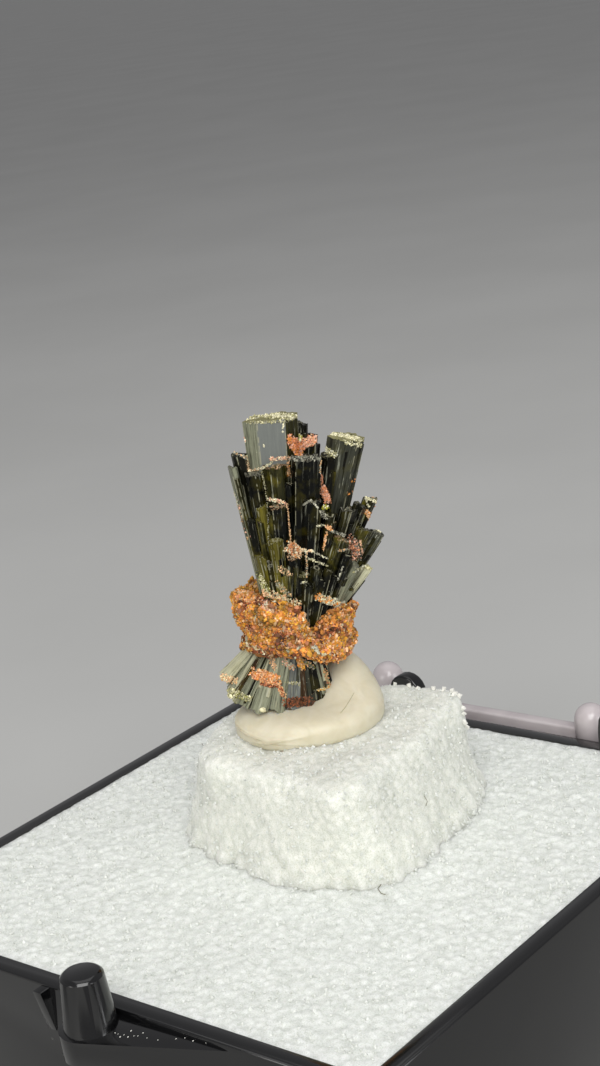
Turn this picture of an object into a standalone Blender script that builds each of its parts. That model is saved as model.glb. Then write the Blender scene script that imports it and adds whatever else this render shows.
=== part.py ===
# Epidote specimen, a dark green-black sheaf of prisms with an iron-stained crust
# round its waist, set in mineral putty on a foam block in a small black box base.
# The box base and its foam fill the lower 9 mm, and the specimen stands on them.
# Units: the constants are millimetres, and MM turns them to the file's metres.

import math
import random

import bmesh
import bpy
from mathutils import Matrix, Vector, noise

MM = 0.001
GAP = 0.3  # clearance between one piece and the next

# Box base: a square tray, plain outside.
BASE_SIDE = 31.7
BASE_HEIGHT = 9.0
WALL = 0.85
FLOOR = 1.2
BASE_CORNER = 0.5
BASE_EDGE = 0.12
HALF = BASE_SIDE / 2
BITE = 0.3  # how deep an outer part reaches into the wall that it is moulded to

# Catch tab with its upright peg and a thin stiffener, on the -X side.
TAB_TOP = BASE_HEIGHT - 0.3
TAB_THICK = 1.2
TAB_RADIUS = 1.42
TAB_NARROW_Y = -9.45
PEG_AT = (-17.05, -1.6)
PEG_FOOT_RADIUS = 1.25
PEG_TOP_RADIUS = 0.95
PEG_TOP = BASE_HEIGHT + 2.3
PEG_EDGE = 0.18
GUSSET_Y = 2.45
GUSSET_WIDE = 0.5
GUSSET_REACH = 0.55
GUSSET_Z = (BASE_HEIGHT - 2.3, BASE_HEIGHT - 0.15)

# Hinge side, +X: a ledge, two black lugs and the clear rail of the lid's hinge.
LEDGE_TOP = BASE_HEIGHT - 0.65
LEDGE_THICK = 0.9
LEDGE_REACH = 18.2
LEDGE_EDGE = 0.15
LEDGE_Y = (-10.1, 9.6)
LUG_Y = (-8.9, 4.7)
LUG_WIDE = 2.1
LUG_TOP = BASE_HEIGHT + 2.35
RAIL_X = 17.05
RAIL_WIDE = 0.8
RAIL_BOTTOM = LEDGE_TOP + GAP
RAIL_TOP = BASE_HEIGHT + 0.1
RAIL_EDGE = 0.12
RAIL_Y = (-7.0, 8.1)
KNOBS = ((-6.2, BASE_HEIGHT + 1.5), (7.35, BASE_HEIGHT + 2.05))  # y, top
KNOB_RADIUS = 0.9
KNOB_STEPS = 24

# Foam: a pad that fills the tray, and a rough-cut block that stands on it.
PAD_SIDE = BASE_SIDE - 2 * WALL - 2 * GAP
PAD_BOTTOM = FLOOR + GAP
PAD_TOP = BASE_HEIGHT
PAD_EDGE = 0.2
BLOCK_BOTTOM = PAD_TOP + GAP
BLOCK_TOP = PAD_TOP + 5.0
# The block's corners going round, each (x, y) at its foot and then at its top.
BLOCK_CORNERS = (
    ((-2.8, -4.9), (-3.8, -5.2)),
    ((-1.4, -6.2), (-2.0, -5.5)),
    ((0.8, -6.5), (0.8, -5.15)),
    ((6.1, -5.7), (6.0, -4.4)),
    ((9.0, -4.2), (8.6, -3.9)),
    ((9.5, 0.8), (9.2, 0.4)),
    ((3.8, 7.2), (3.4, 6.7)),
    ((0.4, 7.3), (0.4, 5.9)),
    ((-1.8, 6.2), (-1.6, 4.8)),
    ((-2.9, 3.6), (-2.8, 3.2)),
    ((-3.9, -1.4), (-2.7, -1.9)),
)
BLOCK_STEP = 1.1  # how far apart the points of an outline stand
BLOCK_LEVELS = 5
BLOCK_INNER = (0.75, 0.45)  # the rough top's own rings, as shares of its outline
BLOCK_ROUGH = 0.26
BLOCK_PITCH = 1.6
BLOCK_SEED = 3.0

# The specimen's own axes: U to the right across its face, D out of its face and
# W up its length. Its middle is the centre of the waist.
FACE_TURN = math.radians(-48.2)
LEAN = math.radians(7.7)
WAIST = Vector((3.13, 1.36, BASE_HEIGHT + 10.2))
ACROSS = Vector((math.cos(FACE_TURN), math.sin(FACE_TURN), 0.0))
OUTWARD = Vector((math.sin(FACE_TURN), -math.cos(FACE_TURN), 0.0))
UP = Vector((0.0, 0.0, 1.0))
AXIS_U = ACROSS * math.cos(LEAN) - UP * math.sin(LEAN)
AXIS_W = UP * math.cos(LEAN) + ACROSS * math.sin(LEAN)
AXIS_D = OUTWARD

# Putty: a pressed blob, low in front of the specimen and high behind its right.
PUTTY_BOTTOM = BLOCK_TOP + GAP
PUTTY_LIP = 1.25
PUTTY_RISE = 2.1
PUTTY_CENTRE = (-0.05, 0.1)
PUTTY_RADII = (3.8, 3.25)
PUTTY_WIDEST = 0.6  # how low the widest ring lies
PUTTY_SQUARENESS = 0.65  # 1 is a plain ellipsoid, less is fuller at its edge
HUMP = (2.15, -1.5, 1.9, 2.2)  # its middle (u, d) and its spreads
PUTTY_RINGS = 12
PUTTY_SPOKES = 30
DENT_CENTRE = (-0.5, -0.1)
DENT_FOOT = (2.5, 1.98)  # the hollow's half sizes across and outward at its bottom
DENT_MOUTH = (4.4, 3.52)  # and at its top
DENT_BOTTOM = BASE_HEIGHT + 5.72
DENT_HEIGHT = 6.0
DENT_SPOKES = 28

# Crust: a knobbly band round the waist of the sheaf.
CRUST_CENTRE = (-0.15, 0.0)
CRUST_RADII = (2.85, 2.45)
CRUST_TOP = 1.8
CRUST_BOTTOM = -1.3
CRUST_RIGHT_DROP = 0.3
CRUST_RIGHT_FALL = 0.5
CRUST_GAP_ANGLE = math.radians(67)
CRUST_GAP_SPREAD = math.radians(15)
CRUST_GAP_DEPTH = 1.3
CRUST_SPOKES = 56
CRUST_STEPS = 9
CRUST_INNER_STEPS = 3
CRUST_KNOB = 0.85
CRUST_ROUGH = 0.55
CRUST_THIN = 0.4
CRUST_LIP = 0.12
# Lumps that stand out from the band: towards which angle, at what height, how far
# round they reach in radians, and how far they stand out.
CRUST_LUMPS = ((math.pi, 1.2, 0.5, 0.2), (0.0, -0.7, 0.6, 0.25))

# Prisms of the upper sheaf that show as forms of their own.
# tip (u, w, d), foot (u, w, d), width, thickness.
SHEAF = (
    ((-1.35, 10.5, -0.6), (-0.6, 0.5, -0.4), 2.75, 1.5),
    ((2.35, 9.55, -0.4), (0.75, 0.4, -0.4), 1.85, 1.3),
    ((0.35, 8.8, 0.8), (0.2, 0.4, 0.6), 1.45, 1.2),
    ((1.45, 8.75, 0.1), (0.55, 0.4, 0.1), 0.85, 0.9),
    ((0.55, 9.65, -0.6), (0.2, 0.4, -0.5), 0.9, 0.8),
    ((0.15, 10.0, -1.3), (0.05, 0.4, -0.8), 0.8, 0.9),
    ((-1.15, 8.3, 0.35), (-0.45, 0.4, 0.3), 1.25, 1.1),
    ((-2.15, 7.95, 0.3), (-0.9, 0.4, 0.3), 0.95, 1.0),
    ((-0.95, 6.5, 1.0), (-0.45, 0.2, 0.8), 1.05, 0.95),
    ((0.6, 6.85, 1.4), (0.3, 0.2, 0.9), 0.9, 0.8),
    ((-2.9, 8.75, -0.3), (-1.2, 0.3, -0.1), 0.75, 1.0),
    ((-3.15, 8.2, 0.1), (-1.35, 0.3, 0.1), 0.5, 0.8),
    ((3.6, 6.35, -0.6), (1.1, 0.2, -0.3), 0.75, 0.9),
    ((3.05, 6.2, 0.0), (0.95, 0.2, 0.0), 0.7, 0.8),
    ((3.9, 4.75, -0.2), (1.2, 0.1, -0.1), 0.75, 0.8),
    ((3.2, 5.05, 0.4), (1.0, 0.1, 0.3), 0.8, 0.8),
    ((3.4, 3.1, 0.3), (1.25, 0.0, 0.2), 0.6, 0.7),
    ((2.4, 6.15, 0.7), (0.8, 0.1, 0.5), 0.8, 0.8),
    ((1.5, 6.0, 1.1), (0.6, 0.1, 0.7), 0.65, 0.7),
    ((2.05, 4.85, 1.2), (0.75, 0.0, 0.9), 0.95, 0.8),
    ((2.3, 4.05, 1.45), (0.9, -0.2, 1.0), 0.7, 0.7),
    ((2.75, 3.4, 1.0), (1.1, -0.2, 0.7), 0.5, 0.7),
    ((-1.8, 6.4, 0.9), (-0.8, 0.1, 0.6), 0.6, 0.7),
    ((-1.15, 4.9, 1.5), (-0.6, 0.0, 0.9), 0.7, 0.7),
    ((-0.3, 4.15, 1.8), (-0.2, -0.4, 1.1), 0.75, 0.7),
    ((0.8, 3.6, 1.9), (0.4, -0.4, 1.15), 0.6, 0.6),
    ((1.4, 3.4, 1.7), (0.6, -0.4, 1.05), 0.55, 0.6),
    ((0.35, 2.8, 1.95), (0.2, -0.6, 1.2), 0.65, 0.6),
    ((-1.9, 4.0, 1.2), (-0.95, -0.2, 0.7), 0.55, 0.7),
)

# The solid middles that the prisms of each end grow round.
HEART = ((0.05, 6.6, -0.45), (0.0, -0.5, -0.1), 3.6, 2.2)
FAN_HEART = ((-0.9, -3.4, 0.0), (0.0, 0.4, 0.0), 3.6, 2.2)

# Prisms of the short lower fan, tips down.
FAN = (
    ((-3.6, -2.75, -0.1), (-0.9, 0.3, -0.1), 0.8, 0.9),
    ((-3.3, -3.55, 0.3), (-0.9, 0.3, 0.1), 0.75, 0.9),
    ((-2.75, -3.85, 0.8), (-0.8, 0.3, 0.4), 0.75, 0.8),
    ((-1.95, -4.0, 1.1), (-0.6, 0.3, 0.5), 0.95, 0.8),
    ((-1.1, -4.0, 1.25), (-0.4, 0.3, 0.6), 0.95, 0.8),
    ((-0.3, -3.95, 1.2), (-0.1, 0.3, 0.6), 0.95, 0.8),
    ((0.45, -3.9, 1.1), (0.1, 0.3, 0.6), 0.95, 0.8),
    ((1.1, -3.9, 0.8), (0.3, 0.3, 0.5), 0.85, 0.8),
    ((1.6, -3.85, 0.3), (0.5, 0.3, 0.3), 0.75, 0.8),
)

# The sheaf's far side: rows of prisms, each row lower and further back.
# How many, how high, how far out of the face, and how far they spread to each side.
BACK_SEED = 11
BACK_ROWS = ((6, 8.9, -1.1, 2.7), (6, 7.3, -1.8, 3.0), (5, 5.3, -2.2, 2.9), (4, 3.4, -2.3, 2.3))
BACK_MIDDLE = 0.2
BACK_SAG = 1.6  # how much lower the outermost prism of a row ends
BACK_CURL = 0.5  # how much nearer to the face it stands
BACK_FOOT_SHARE = 0.34
BACK_FOOT_DEEPEST = -1.05
# The lower fan's far side.
FAN_BACK_COUNT = 8
FAN_BACK = (-0.95, -3.9, -1.2)
FAN_BACK_SPREAD = 2.55
FAN_BACK_SIZE = 0.95

PRISM_TAPER = 0.72
PRISM_SIDES = 6
PRISM_SEED = 5
PRISM_TURN = 0.35  # the most that a prism is turned on its axis, in radians
PRISM_SLOPE = 0.22  # the most that its end is cut aslant

SHARP = math.radians(40)  # faces that meet at more than this are shaded apart


def material(name, colour, roughness, metallic=0.0, transmission=0.0):
    made = bpy.data.materials.new(name)
    made.use_nodes = True
    shader = made.node_tree.nodes["Principled BSDF"]
    shader.inputs["Base Color"].default_value = (*colour, 1.0)
    shader.inputs["Roughness"].default_value = roughness
    shader.inputs["Metallic"].default_value = metallic
    shader.inputs["Transmission Weight"].default_value = transmission
    made.diffuse_color = (*colour, 1.0)
    return made


def finish(bm, name, surface, collection=None, smooth=False):
    """Turns a bmesh in millimetres into an object in metres."""
    bmesh.ops.scale(bm, vec=(MM, MM, MM), verts=bm.verts)
    bmesh.ops.recalc_face_normals(bm, faces=bm.faces)
    mesh = bpy.data.meshes.new(name)
    bm.to_mesh(mesh)
    bm.free()
    if smooth:
        mesh.shade_smooth()
        mesh.set_sharp_from_angle(angle=SHARP)
    made = bpy.data.objects.new(name, mesh)
    if surface:
        mesh.materials.append(surface)
    (collection or bpy.context.scene.collection).objects.link(made)
    return made


def cutter(made):
    made.hide_render = True
    made.display_type = "WIRE"
    return made


def join(target, other, operation="UNION"):
    modifier = target.modifiers.new(other.name, "BOOLEAN")
    modifier.operation = operation
    modifier.solver = "EXACT"
    modifier.object = cutter(other)


def join_all(target, collection):
    modifier = target.modifiers.new(collection.name, "BOOLEAN")
    modifier.operation = "UNION"
    modifier.solver = "EXACT"
    modifier.operand_type = "COLLECTION"
    modifier.collection = collection


def new_collection(name):
    made = bpy.data.collections.new(name)
    bpy.context.scene.collection.children.link(made)
    made.hide_render = True
    return made


def block_mesh(low, high, edge=0.0):
    """A box between two corners, its edges rounded by edge."""
    bm = bmesh.new()
    bmesh.ops.create_cube(bm, size=1.0)
    size = [b - a for a, b in zip(low, high)]
    middle = [(a + b) / 2 for a, b in zip(low, high)]
    bmesh.ops.scale(bm, vec=size, verts=bm.verts)
    bmesh.ops.translate(bm, vec=middle, verts=bm.verts)
    if edge:
        bmesh.ops.bevel(
            bm, geom=bm.edges[:], offset=edge, segments=2, profile=0.5,
            affect="EDGES", material=-1, clamp_overlap=True,
        )
    return bm


def extruded_mesh(outline, bottom, top):
    """A prism that stands on an outline of (x, y) points."""
    bm = bmesh.new()
    corners = [bm.verts.new((x, y, bottom)) for x, y in outline]
    face = bm.faces.new(corners)
    raised = bmesh.ops.extrude_face_region(bm, geom=[face])["geom"]
    verts = [item for item in raised if isinstance(item, bmesh.types.BMVert)]
    bmesh.ops.translate(bm, vec=(0, 0, top - bottom), verts=verts)
    return bm


def cone_mesh(x, y, bottom, top, foot_radius, top_radius, segments=32):
    bm = bmesh.new()
    bmesh.ops.create_cone(
        bm, cap_ends=True, segments=segments,
        radius1=foot_radius, radius2=top_radius, depth=top - bottom,
    )
    bmesh.ops.translate(bm, vec=(x, y, (top + bottom) / 2), verts=bm.verts)
    return bm


def arc(x, y, radius, first, last, steps):
    """Points on an arc, angles in degrees."""
    angles = [math.radians(first + (last - first) * i / steps) for i in range(steps + 1)]
    return [(x + radius * math.cos(a), y + radius * math.sin(a)) for a in angles]


def tab_outline():
    """The catch tab in plan: round at the peg, narrowing along the wall."""
    inside = -HALF + WALL / 2
    round_end = arc(*PEG_AT, TAB_RADIUS, 90, 195, 8)
    return [(inside, TAB_NARROW_Y), (inside, PEG_AT[1] + TAB_RADIUS)] + round_end


def tray_mesh():
    """The tray's outside: its upright corners are rounded more than its edges."""
    bm = block_mesh((-HALF, -HALF, 0), (HALF, HALF, BASE_HEIGHT))
    for upright, offset in ((True, BASE_CORNER), (False, BASE_EDGE)):
        edges = [e for e in bm.edges if (abs(e.verts[0].co.z - e.verts[1].co.z) > 1.0) == upright]
        bmesh.ops.bevel(
            bm, geom=edges, offset=offset, segments=2, profile=0.5, affect="EDGES", material=-1,
        )
    return bm


def box_base(black):
    tray = finish(tray_mesh(), "box_base", black, smooth=True)
    tab = extruded_mesh(tab_outline(), TAB_TOP - TAB_THICK, TAB_TOP)
    join(tray, finish(tab, "catch_tab", None))
    peg = cone_mesh(*PEG_AT, TAB_TOP - TAB_THICK / 2, PEG_TOP, PEG_FOOT_RADIUS, PEG_TOP_RADIUS)
    top_edges = [e for e in peg.edges if min(v.co.z for v in e.verts) > PEG_TOP - 0.01]
    bmesh.ops.bevel(
        peg, geom=top_edges, offset=PEG_EDGE, segments=2, profile=0.5,
        affect="EDGES", material=-1,
    )
    join(tray, finish(peg, "peg", None))
    join(tray, finish(gusset_mesh(), "gusset", None))
    ledge = block_mesh(
        (HALF - BITE, LEDGE_Y[0], LEDGE_TOP - LEDGE_THICK),
        (LEDGE_REACH, LEDGE_Y[1], LEDGE_TOP),
        LEDGE_EDGE,
    )
    join(tray, finish(ledge, "hinge_ledge", None))
    for count, y in enumerate(LUG_Y):
        join(tray, finish(lug_mesh(y), f"hinge_lug_{count + 1}", None))
    inner = HALF - WALL
    hollow = block_mesh((-inner, -inner, FLOOR), (inner, inner, LUG_TOP + 1.0))
    join(tray, finish(hollow, "hollow", None), "DIFFERENCE")
    return tray


def gusset_mesh():
    """A thin upright stiffener on the wall, wide above and narrow below."""
    low, high = GUSSET_Z
    side = [(-HALF + BITE, low), (-HALF + BITE, high), (-HALF - GUSSET_REACH, high), (-HALF - 0.05, low)]
    bm = bmesh.new()
    face = bm.faces.new([bm.verts.new((x, GUSSET_Y - GUSSET_WIDE / 2, z)) for x, z in side])
    raised = bmesh.ops.extrude_face_region(bm, geom=[face])["geom"]
    verts = [item for item in raised if isinstance(item, bmesh.types.BMVert)]
    bmesh.ops.translate(bm, vec=(0, GUSSET_WIDE, 0), verts=verts)
    return bm


def lug_mesh(y):
    """A round-topped plate that stands up from the wall."""
    radius = LUG_WIDE / 2
    profile = [(y - radius, LEDGE_TOP - 0.3)] + arc(y, LUG_TOP - radius, radius, 180, 0, 10)
    profile.append((y + radius, LEDGE_TOP - 0.3))
    bm = bmesh.new()
    face = bm.faces.new([bm.verts.new((HALF - WALL + 0.02, a, z)) for a, z in profile])
    raised = bmesh.ops.extrude_face_region(bm, geom=[face])["geom"]
    verts = [item for item in raised if isinstance(item, bmesh.types.BMVert)]
    bmesh.ops.translate(bm, vec=(WALL - 0.05, 0, 0), verts=verts)
    return bm


def hinge_rail(clear):
    """The clear bar of the hinge, with a round-topped knob near each end."""
    half = RAIL_WIDE / 2
    low = (RAIL_X - half, RAIL_Y[0], RAIL_BOTTOM)
    high = (RAIL_X + half, RAIL_Y[1], RAIL_TOP)
    rail = finish(block_mesh(low, high, RAIL_EDGE), "hinge_rail", clear, smooth=True)
    for count, (y, top) in enumerate(KNOBS):
        # The shaft starts a hair above the bar's underside and the dome is a hair wider
        # and turned a little, so that no two faces of the union lie in one plane.
        middle = top - KNOB_RADIUS
        shaft = cone_mesh(
            RAIL_X, y, RAIL_BOTTOM + 0.01, middle, KNOB_RADIUS, KNOB_RADIUS, KNOB_STEPS
        )
        join(rail, finish(shaft, f"knob_shaft_{count + 1}", None))
        dome = bmesh.new()
        bmesh.ops.create_uvsphere(
            dome, u_segments=KNOB_STEPS, v_segments=KNOB_STEPS // 2, radius=KNOB_RADIUS * 1.003
        )
        bmesh.ops.rotate(dome, matrix=Matrix.Rotation(0.05, 3, "Z"), verts=dome.verts)
        bmesh.ops.translate(dome, vec=(RAIL_X, y, middle), verts=dome.verts)
        join(rail, finish(dome, f"knob_dome_{count + 1}", None))
    return rail


def roughen(bm, verts, amount, pitch, seed):
    """Moves points along their normals by smooth noise of a given pitch."""
    bm.normal_update()
    for vert in verts:
        where = vert.co / pitch + Vector((seed, seed, seed))
        vert.co += vert.normal * (amount * noise.noise(where))


def foam_pad(foam):
    half = PAD_SIDE / 2
    return finish(
        block_mesh((-half, -half, PAD_BOTTOM), (half, half, PAD_TOP), PAD_EDGE),
        "foam_pad", foam, smooth=True,
    )


def block_rings():
    """Outlines from the block's foot up to its top and in to its middle."""
    corners = [(Vector(foot), Vector(top)) for foot, top in BLOCK_CORNERS]
    outline = []
    for (foot, top), (next_foot, next_top) in zip(corners, corners[1:] + corners[:1]):
        steps = max(1, round((next_foot - foot).length / BLOCK_STEP))
        for i in range(steps):
            outline.append((foot.lerp(next_foot, i / steps), top.lerp(next_top, i / steps)))
    for level in range(BLOCK_LEVELS + 1):
        share = level / BLOCK_LEVELS
        z = BLOCK_BOTTOM + (BLOCK_TOP - BLOCK_BOTTOM) * share
        yield [(*foot.lerp(top, share), z) for foot, top in outline]
    middle = sum((top for _, top in outline), Vector((0, 0))) / len(outline)
    for share in BLOCK_INNER:
        yield [(*middle.lerp(top, share), BLOCK_TOP) for _, top in outline]


def foam_block(foam):
    """A piece torn by hand from a foam sheet: uneven sides and a rough top."""
    bm = bmesh.new()
    rings = [[bm.verts.new(point) for point in ring] for ring in block_rings()]
    bm.faces.new(rings[0])
    bm.faces.new(rings[-1])
    for ring, following in zip(rings, rings[1:]):
        for i in range(len(ring)):
            after = (i + 1) % len(ring)
            bm.faces.new((ring[i], ring[after], following[after], following[i]))
    bmesh.ops.triangulate(bm, faces=bm.faces)
    bmesh.ops.recalc_face_normals(bm, faces=bm.faces)
    loose = [v for v in bm.verts if v.co.z > BLOCK_BOTTOM + 0.05]
    roughen(bm, loose, BLOCK_ROUGH, BLOCK_PITCH, BLOCK_SEED)
    return finish(bm, "foam_block", foam)


def in_specimen(u, w, d):
    """A place given along the specimen's own axes, in millimetres."""
    return WAIST + AXIS_U * u + AXIS_W * w + AXIS_D * d


def putty_height(u, d):
    """How high the blob stands: a lip in front, a rounded hump at the back right."""
    hump = math.exp(-(((u - HUMP[0]) / HUMP[2]) ** 2 + ((d - HUMP[1]) / HUMP[3]) ** 2))
    return PUTTY_LIP + PUTTY_RISE * hump


def mineral_putty(cream):
    bm = bmesh.new()
    bmesh.ops.create_uvsphere(bm, u_segments=PUTTY_SPOKES, v_segments=PUTTY_RINGS, radius=1.0)
    for vert in bm.verts:
        radius = math.hypot(vert.co.x, vert.co.y)
        spread = radius**PUTTY_SQUARENESS / max(radius, 0.001)
        rise = math.copysign(abs(vert.co.z) ** PUTTY_SQUARENESS, vert.co.z)
        u = PUTTY_CENTRE[0] + PUTTY_RADII[0] * vert.co.x * spread
        d = PUTTY_CENTRE[1] + PUTTY_RADII[1] * vert.co.y * spread
        level = max(0.0, (rise + PUTTY_WIDEST) / (1.0 + PUTTY_WIDEST))
        place = Vector((WAIST.x, WAIST.y, 0)) + ACROSS * u + OUTWARD * d
        vert.co = (place.x, place.y, PUTTY_BOTTOM + putty_height(u, d) * level)
    bmesh.ops.dissolve_degenerate(bm, dist=0.001, edges=bm.edges[:])
    putty = finish(bm, "mineral_putty", cream, smooth=True)
    join(putty, finish(dent_mesh(), "dent", None), "DIFFERENCE")
    return putty


def dent_mesh():
    """The hollow that the specimen's foot presses into the putty."""
    bm = bmesh.new()
    bmesh.ops.create_cone(
        bm, cap_ends=True, segments=DENT_SPOKES, radius1=1.0, radius2=1.0, depth=DENT_HEIGHT
    )
    for vert in bm.verts:
        half = DENT_MOUTH if vert.co.z > 0 else DENT_FOOT
        u = DENT_CENTRE[0] + half[0] * vert.co.x
        d = DENT_CENTRE[1] + half[1] * vert.co.y
        place = Vector((WAIST.x, WAIST.y, 0)) + ACROSS * u + OUTWARD * d
        vert.co = (place.x, place.y, DENT_BOTTOM + DENT_HEIGHT / 2 + vert.co.z)
    return bm


def prism_mesh(tip, foot, width, thickness, turn, slope):
    """A six-sided prism from foot to tip, wider at the tip, its end cut aslant by slope mm."""
    bm = bmesh.new()
    bmesh.ops.create_circle(bm, cap_ends=True, segments=PRISM_SIDES, radius=0.5)
    raised = bmesh.ops.extrude_face_region(bm, geom=bm.faces[:])["geom"]
    ends = {item for item in raised if isinstance(item, bmesh.types.BMVert)}
    base = in_specimen(*foot)
    top = in_specimen(*tip)
    along = (top - base).normalized()
    side = (AXIS_U - along * AXIS_U.dot(along)).normalized()
    front = along.cross(side)
    spin = Matrix.Rotation(turn, 3, along)
    side = spin @ side
    front = spin @ front
    for vert in bm.verts:
        grow = 1.0 if vert in ends else PRISM_TAPER
        across = side * (vert.co.y * width * grow) + front * (vert.co.x * thickness * grow / 0.87)
        start = top + along * (vert.co.y * slope) if vert in ends else base
        vert.co = start + across
    return bm


def back_prisms():
    """Prisms of the far side, spread in rows by a seeded draw."""
    draw = random.Random(BACK_SEED)
    for count, height, depth, spread in BACK_ROWS:
        for i in range(count):
            share = (i + 0.5) / count * 2 - 1
            u = BACK_MIDDLE + spread * share + draw.uniform(-0.15, 0.15)
            w = height - BACK_SAG * share * share + draw.uniform(-0.5, 0.5)
            d = depth + draw.uniform(-0.2, 0.2) + BACK_CURL * share * share
            foot_d = max(d * 0.5, BACK_FOOT_DEEPEST)
            foot = (u * BACK_FOOT_SHARE, draw.uniform(-0.2, 0.4), foot_d)
            yield (u, w, d), foot, draw.uniform(0.8, 1.15), draw.uniform(0.8, 1.0)
    middle, lowest, deepest = FAN_BACK
    for i in range(FAN_BACK_COUNT):
        share = (i + 0.5) / FAN_BACK_COUNT * 2 - 1
        u = middle + FAN_BACK_SPREAD * share
        d = deepest + 0.7 * share * share + draw.uniform(-0.1, 0.1)
        w = lowest + 0.25 * share * share
        yield (u, w, d), (u * 0.3, 0.3, d * 0.4), FAN_BACK_SIZE, FAN_BACK_SIZE


def islands(bm):
    """The sets of faces that hang together."""
    waiting = set(bm.faces)
    while waiting:
        found = set()
        edge_of_search = [waiting.pop()]
        while edge_of_search:
            face = edge_of_search.pop()
            found.add(face)
            for edge in face.edges:
                for other in edge.link_faces:
                    if other in waiting:
                        waiting.remove(other)
                        edge_of_search.append(other)
        yield found


def keep_outer_shell(made, helpers):
    """Makes the union real and fills the pockets that the prisms seal between them."""
    graph = bpy.context.evaluated_depsgraph_get()
    joined = bpy.data.meshes.new_from_object(made.evaluated_get(graph))
    bm = bmesh.new()
    bm.from_mesh(joined)
    groups = sorted(islands(bm), key=len)
    inner = [face for group in groups[:-1] for face in group]
    bmesh.ops.delete(bm, geom=inner, context="FACES")
    bm.to_mesh(joined)
    bm.free()
    made.modifiers.clear()
    made.data = joined
    for helper in list(helpers.objects):
        bpy.data.objects.remove(helper)
    bpy.data.collections.remove(helpers)


def epidote_crystals(green, prisms):
    draw = random.Random(PRISM_SEED)
    rest = new_collection("prisms")
    heart, *others = prisms
    made = finish(prism_mesh(*heart, 0.1, 0.05), "epidote_crystals", green)
    for count, prism in enumerate(others):
        turn = draw.uniform(-PRISM_TURN, PRISM_TURN)
        slope = draw.uniform(-PRISM_SLOPE, PRISM_SLOPE)
        cutter(finish(prism_mesh(*prism, turn, slope), f"prism_{count}", None, rest))
    join_all(made, rest)
    keep_outer_shell(made, rest)
    return made


def reach_of_prisms(prisms, angle, w):
    """How far the prisms stand out from the band's middle, in a direction, at a height."""
    towards = Vector((math.cos(angle), math.sin(angle)))
    reach = 0.0
    for tip, foot, width, thickness in prisms:
        share = (w - foot[1]) / (tip[1] - foot[1])
        if not -0.15 < share < 1.1:
            continue
        at = Vector((foot[0] + (tip[0] - foot[0]) * share, foot[2] + (tip[2] - foot[2]) * share))
        at -= Vector(CRUST_CENTRE)
        size = PRISM_TAPER + (1.0 - PRISM_TAPER) * share
        half = math.hypot(width * towards.x, thickness * 1.15 * towards.y) / 2 * size
        reach = max(reach, at.dot(towards) + half)
    return reach


def crust_edges(angle):
    """The band's lower and upper edge: low on the right, with a gap at the front."""
    right = max(0.0, math.cos(angle))
    gap = math.exp(-(((angle - CRUST_GAP_ANGLE) / CRUST_GAP_SPREAD) ** 2))
    low = CRUST_BOTTOM - CRUST_RIGHT_DROP * right
    return low, CRUST_TOP - CRUST_RIGHT_FALL * right - CRUST_GAP_DEPTH * gap


def crust_outside(angle, w):
    """An ellipse with a few lumps, all of it knobbly."""
    a, b = CRUST_RADII
    plain = a * b / math.hypot(b * math.cos(angle), a * math.sin(angle))
    for towards, height, wide, proud in CRUST_LUMPS:
        aside = (abs((angle - towards + math.pi) % (2 * math.pi) - math.pi)) / wide
        plain += proud * math.exp(-(aside**2) - (w - height) ** 2)
    around = Vector((math.cos(angle) * 2.4, math.sin(angle) * 2.4, w)) / CRUST_KNOB
    return plain + CRUST_ROUGH * (0.5 - noise.voronoi(around)[0][0])


def iron_crust(rust, prisms):
    """The band is a closed ring: its section goes round the outside and down the inside."""
    bm = bmesh.new()
    rings = []
    for i in range(CRUST_SPOKES):
        angle = 2 * math.pi * i / CRUST_SPOKES
        low, high = crust_edges(angle)
        section = []
        for step in range(CRUST_STEPS + 1):
            turn = math.pi * (step / CRUST_STEPS - 0.5)
            w = (low + high) / 2 + (high - low) / 2 * math.sin(turn)
            inside = reach_of_prisms(prisms, angle, w) + GAP
            thick = max(crust_outside(angle, w) - inside, CRUST_THIN)
            section.append((inside + CRUST_LIP + (thick - CRUST_LIP) * math.cos(turn) ** 0.5, w))
        for step in range(CRUST_INNER_STEPS + 1):
            w = high + (low - high) * step / CRUST_INNER_STEPS
            section.append((reach_of_prisms(prisms, angle, w) + GAP, w))
        ring = []
        for radius, w in section:
            u = CRUST_CENTRE[0] + radius * math.cos(angle)
            d = CRUST_CENTRE[1] + radius * math.sin(angle)
            ring.append(bm.verts.new(in_specimen(u, w, d)))
        rings.append(ring)
    for i, ring in enumerate(rings):
        following = rings[(i + 1) % CRUST_SPOKES]
        for k in range(len(ring)):
            after = (k + 1) % len(ring)
            bm.faces.new((ring[k], ring[after], following[after], following[k]))
    return finish(bm, "iron_crust", rust)


def main():
    for old in list(bpy.data.objects):
        bpy.data.objects.remove(old)
    black = material("black polystyrene", (0.012, 0.012, 0.014), 0.12)
    clear = material("clear polystyrene", (0.85, 0.83, 0.83), 0.06, transmission=0.9)
    foam = material("polystyrene foam", (0.82, 0.83, 0.80), 0.85)
    cream = material("mineral putty", (0.79, 0.75, 0.62), 0.45)
    green = material("epidote", (0.022, 0.026, 0.012), 0.2)
    rust = material("iron oxide crust", (0.42, 0.17, 0.045), 0.9)
    box_base(black)
    hinge_rail(clear)
    foam_pad(foam)
    foam_block(foam)
    mineral_putty(cream)
    # Every prism of the specimen: its tip, foot, width and thickness.
    prisms = (HEART, FAN_HEART, *SHEAF, *FAN, *back_prisms())
    epidote_crystals(green, prisms)
    iron_crust(rust, prisms)


main()
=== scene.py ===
import math
import random

import bmesh
import bpy
from mathutils import Matrix, Vector, noise
from mathutils.bvhtree import BVHTree


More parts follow.
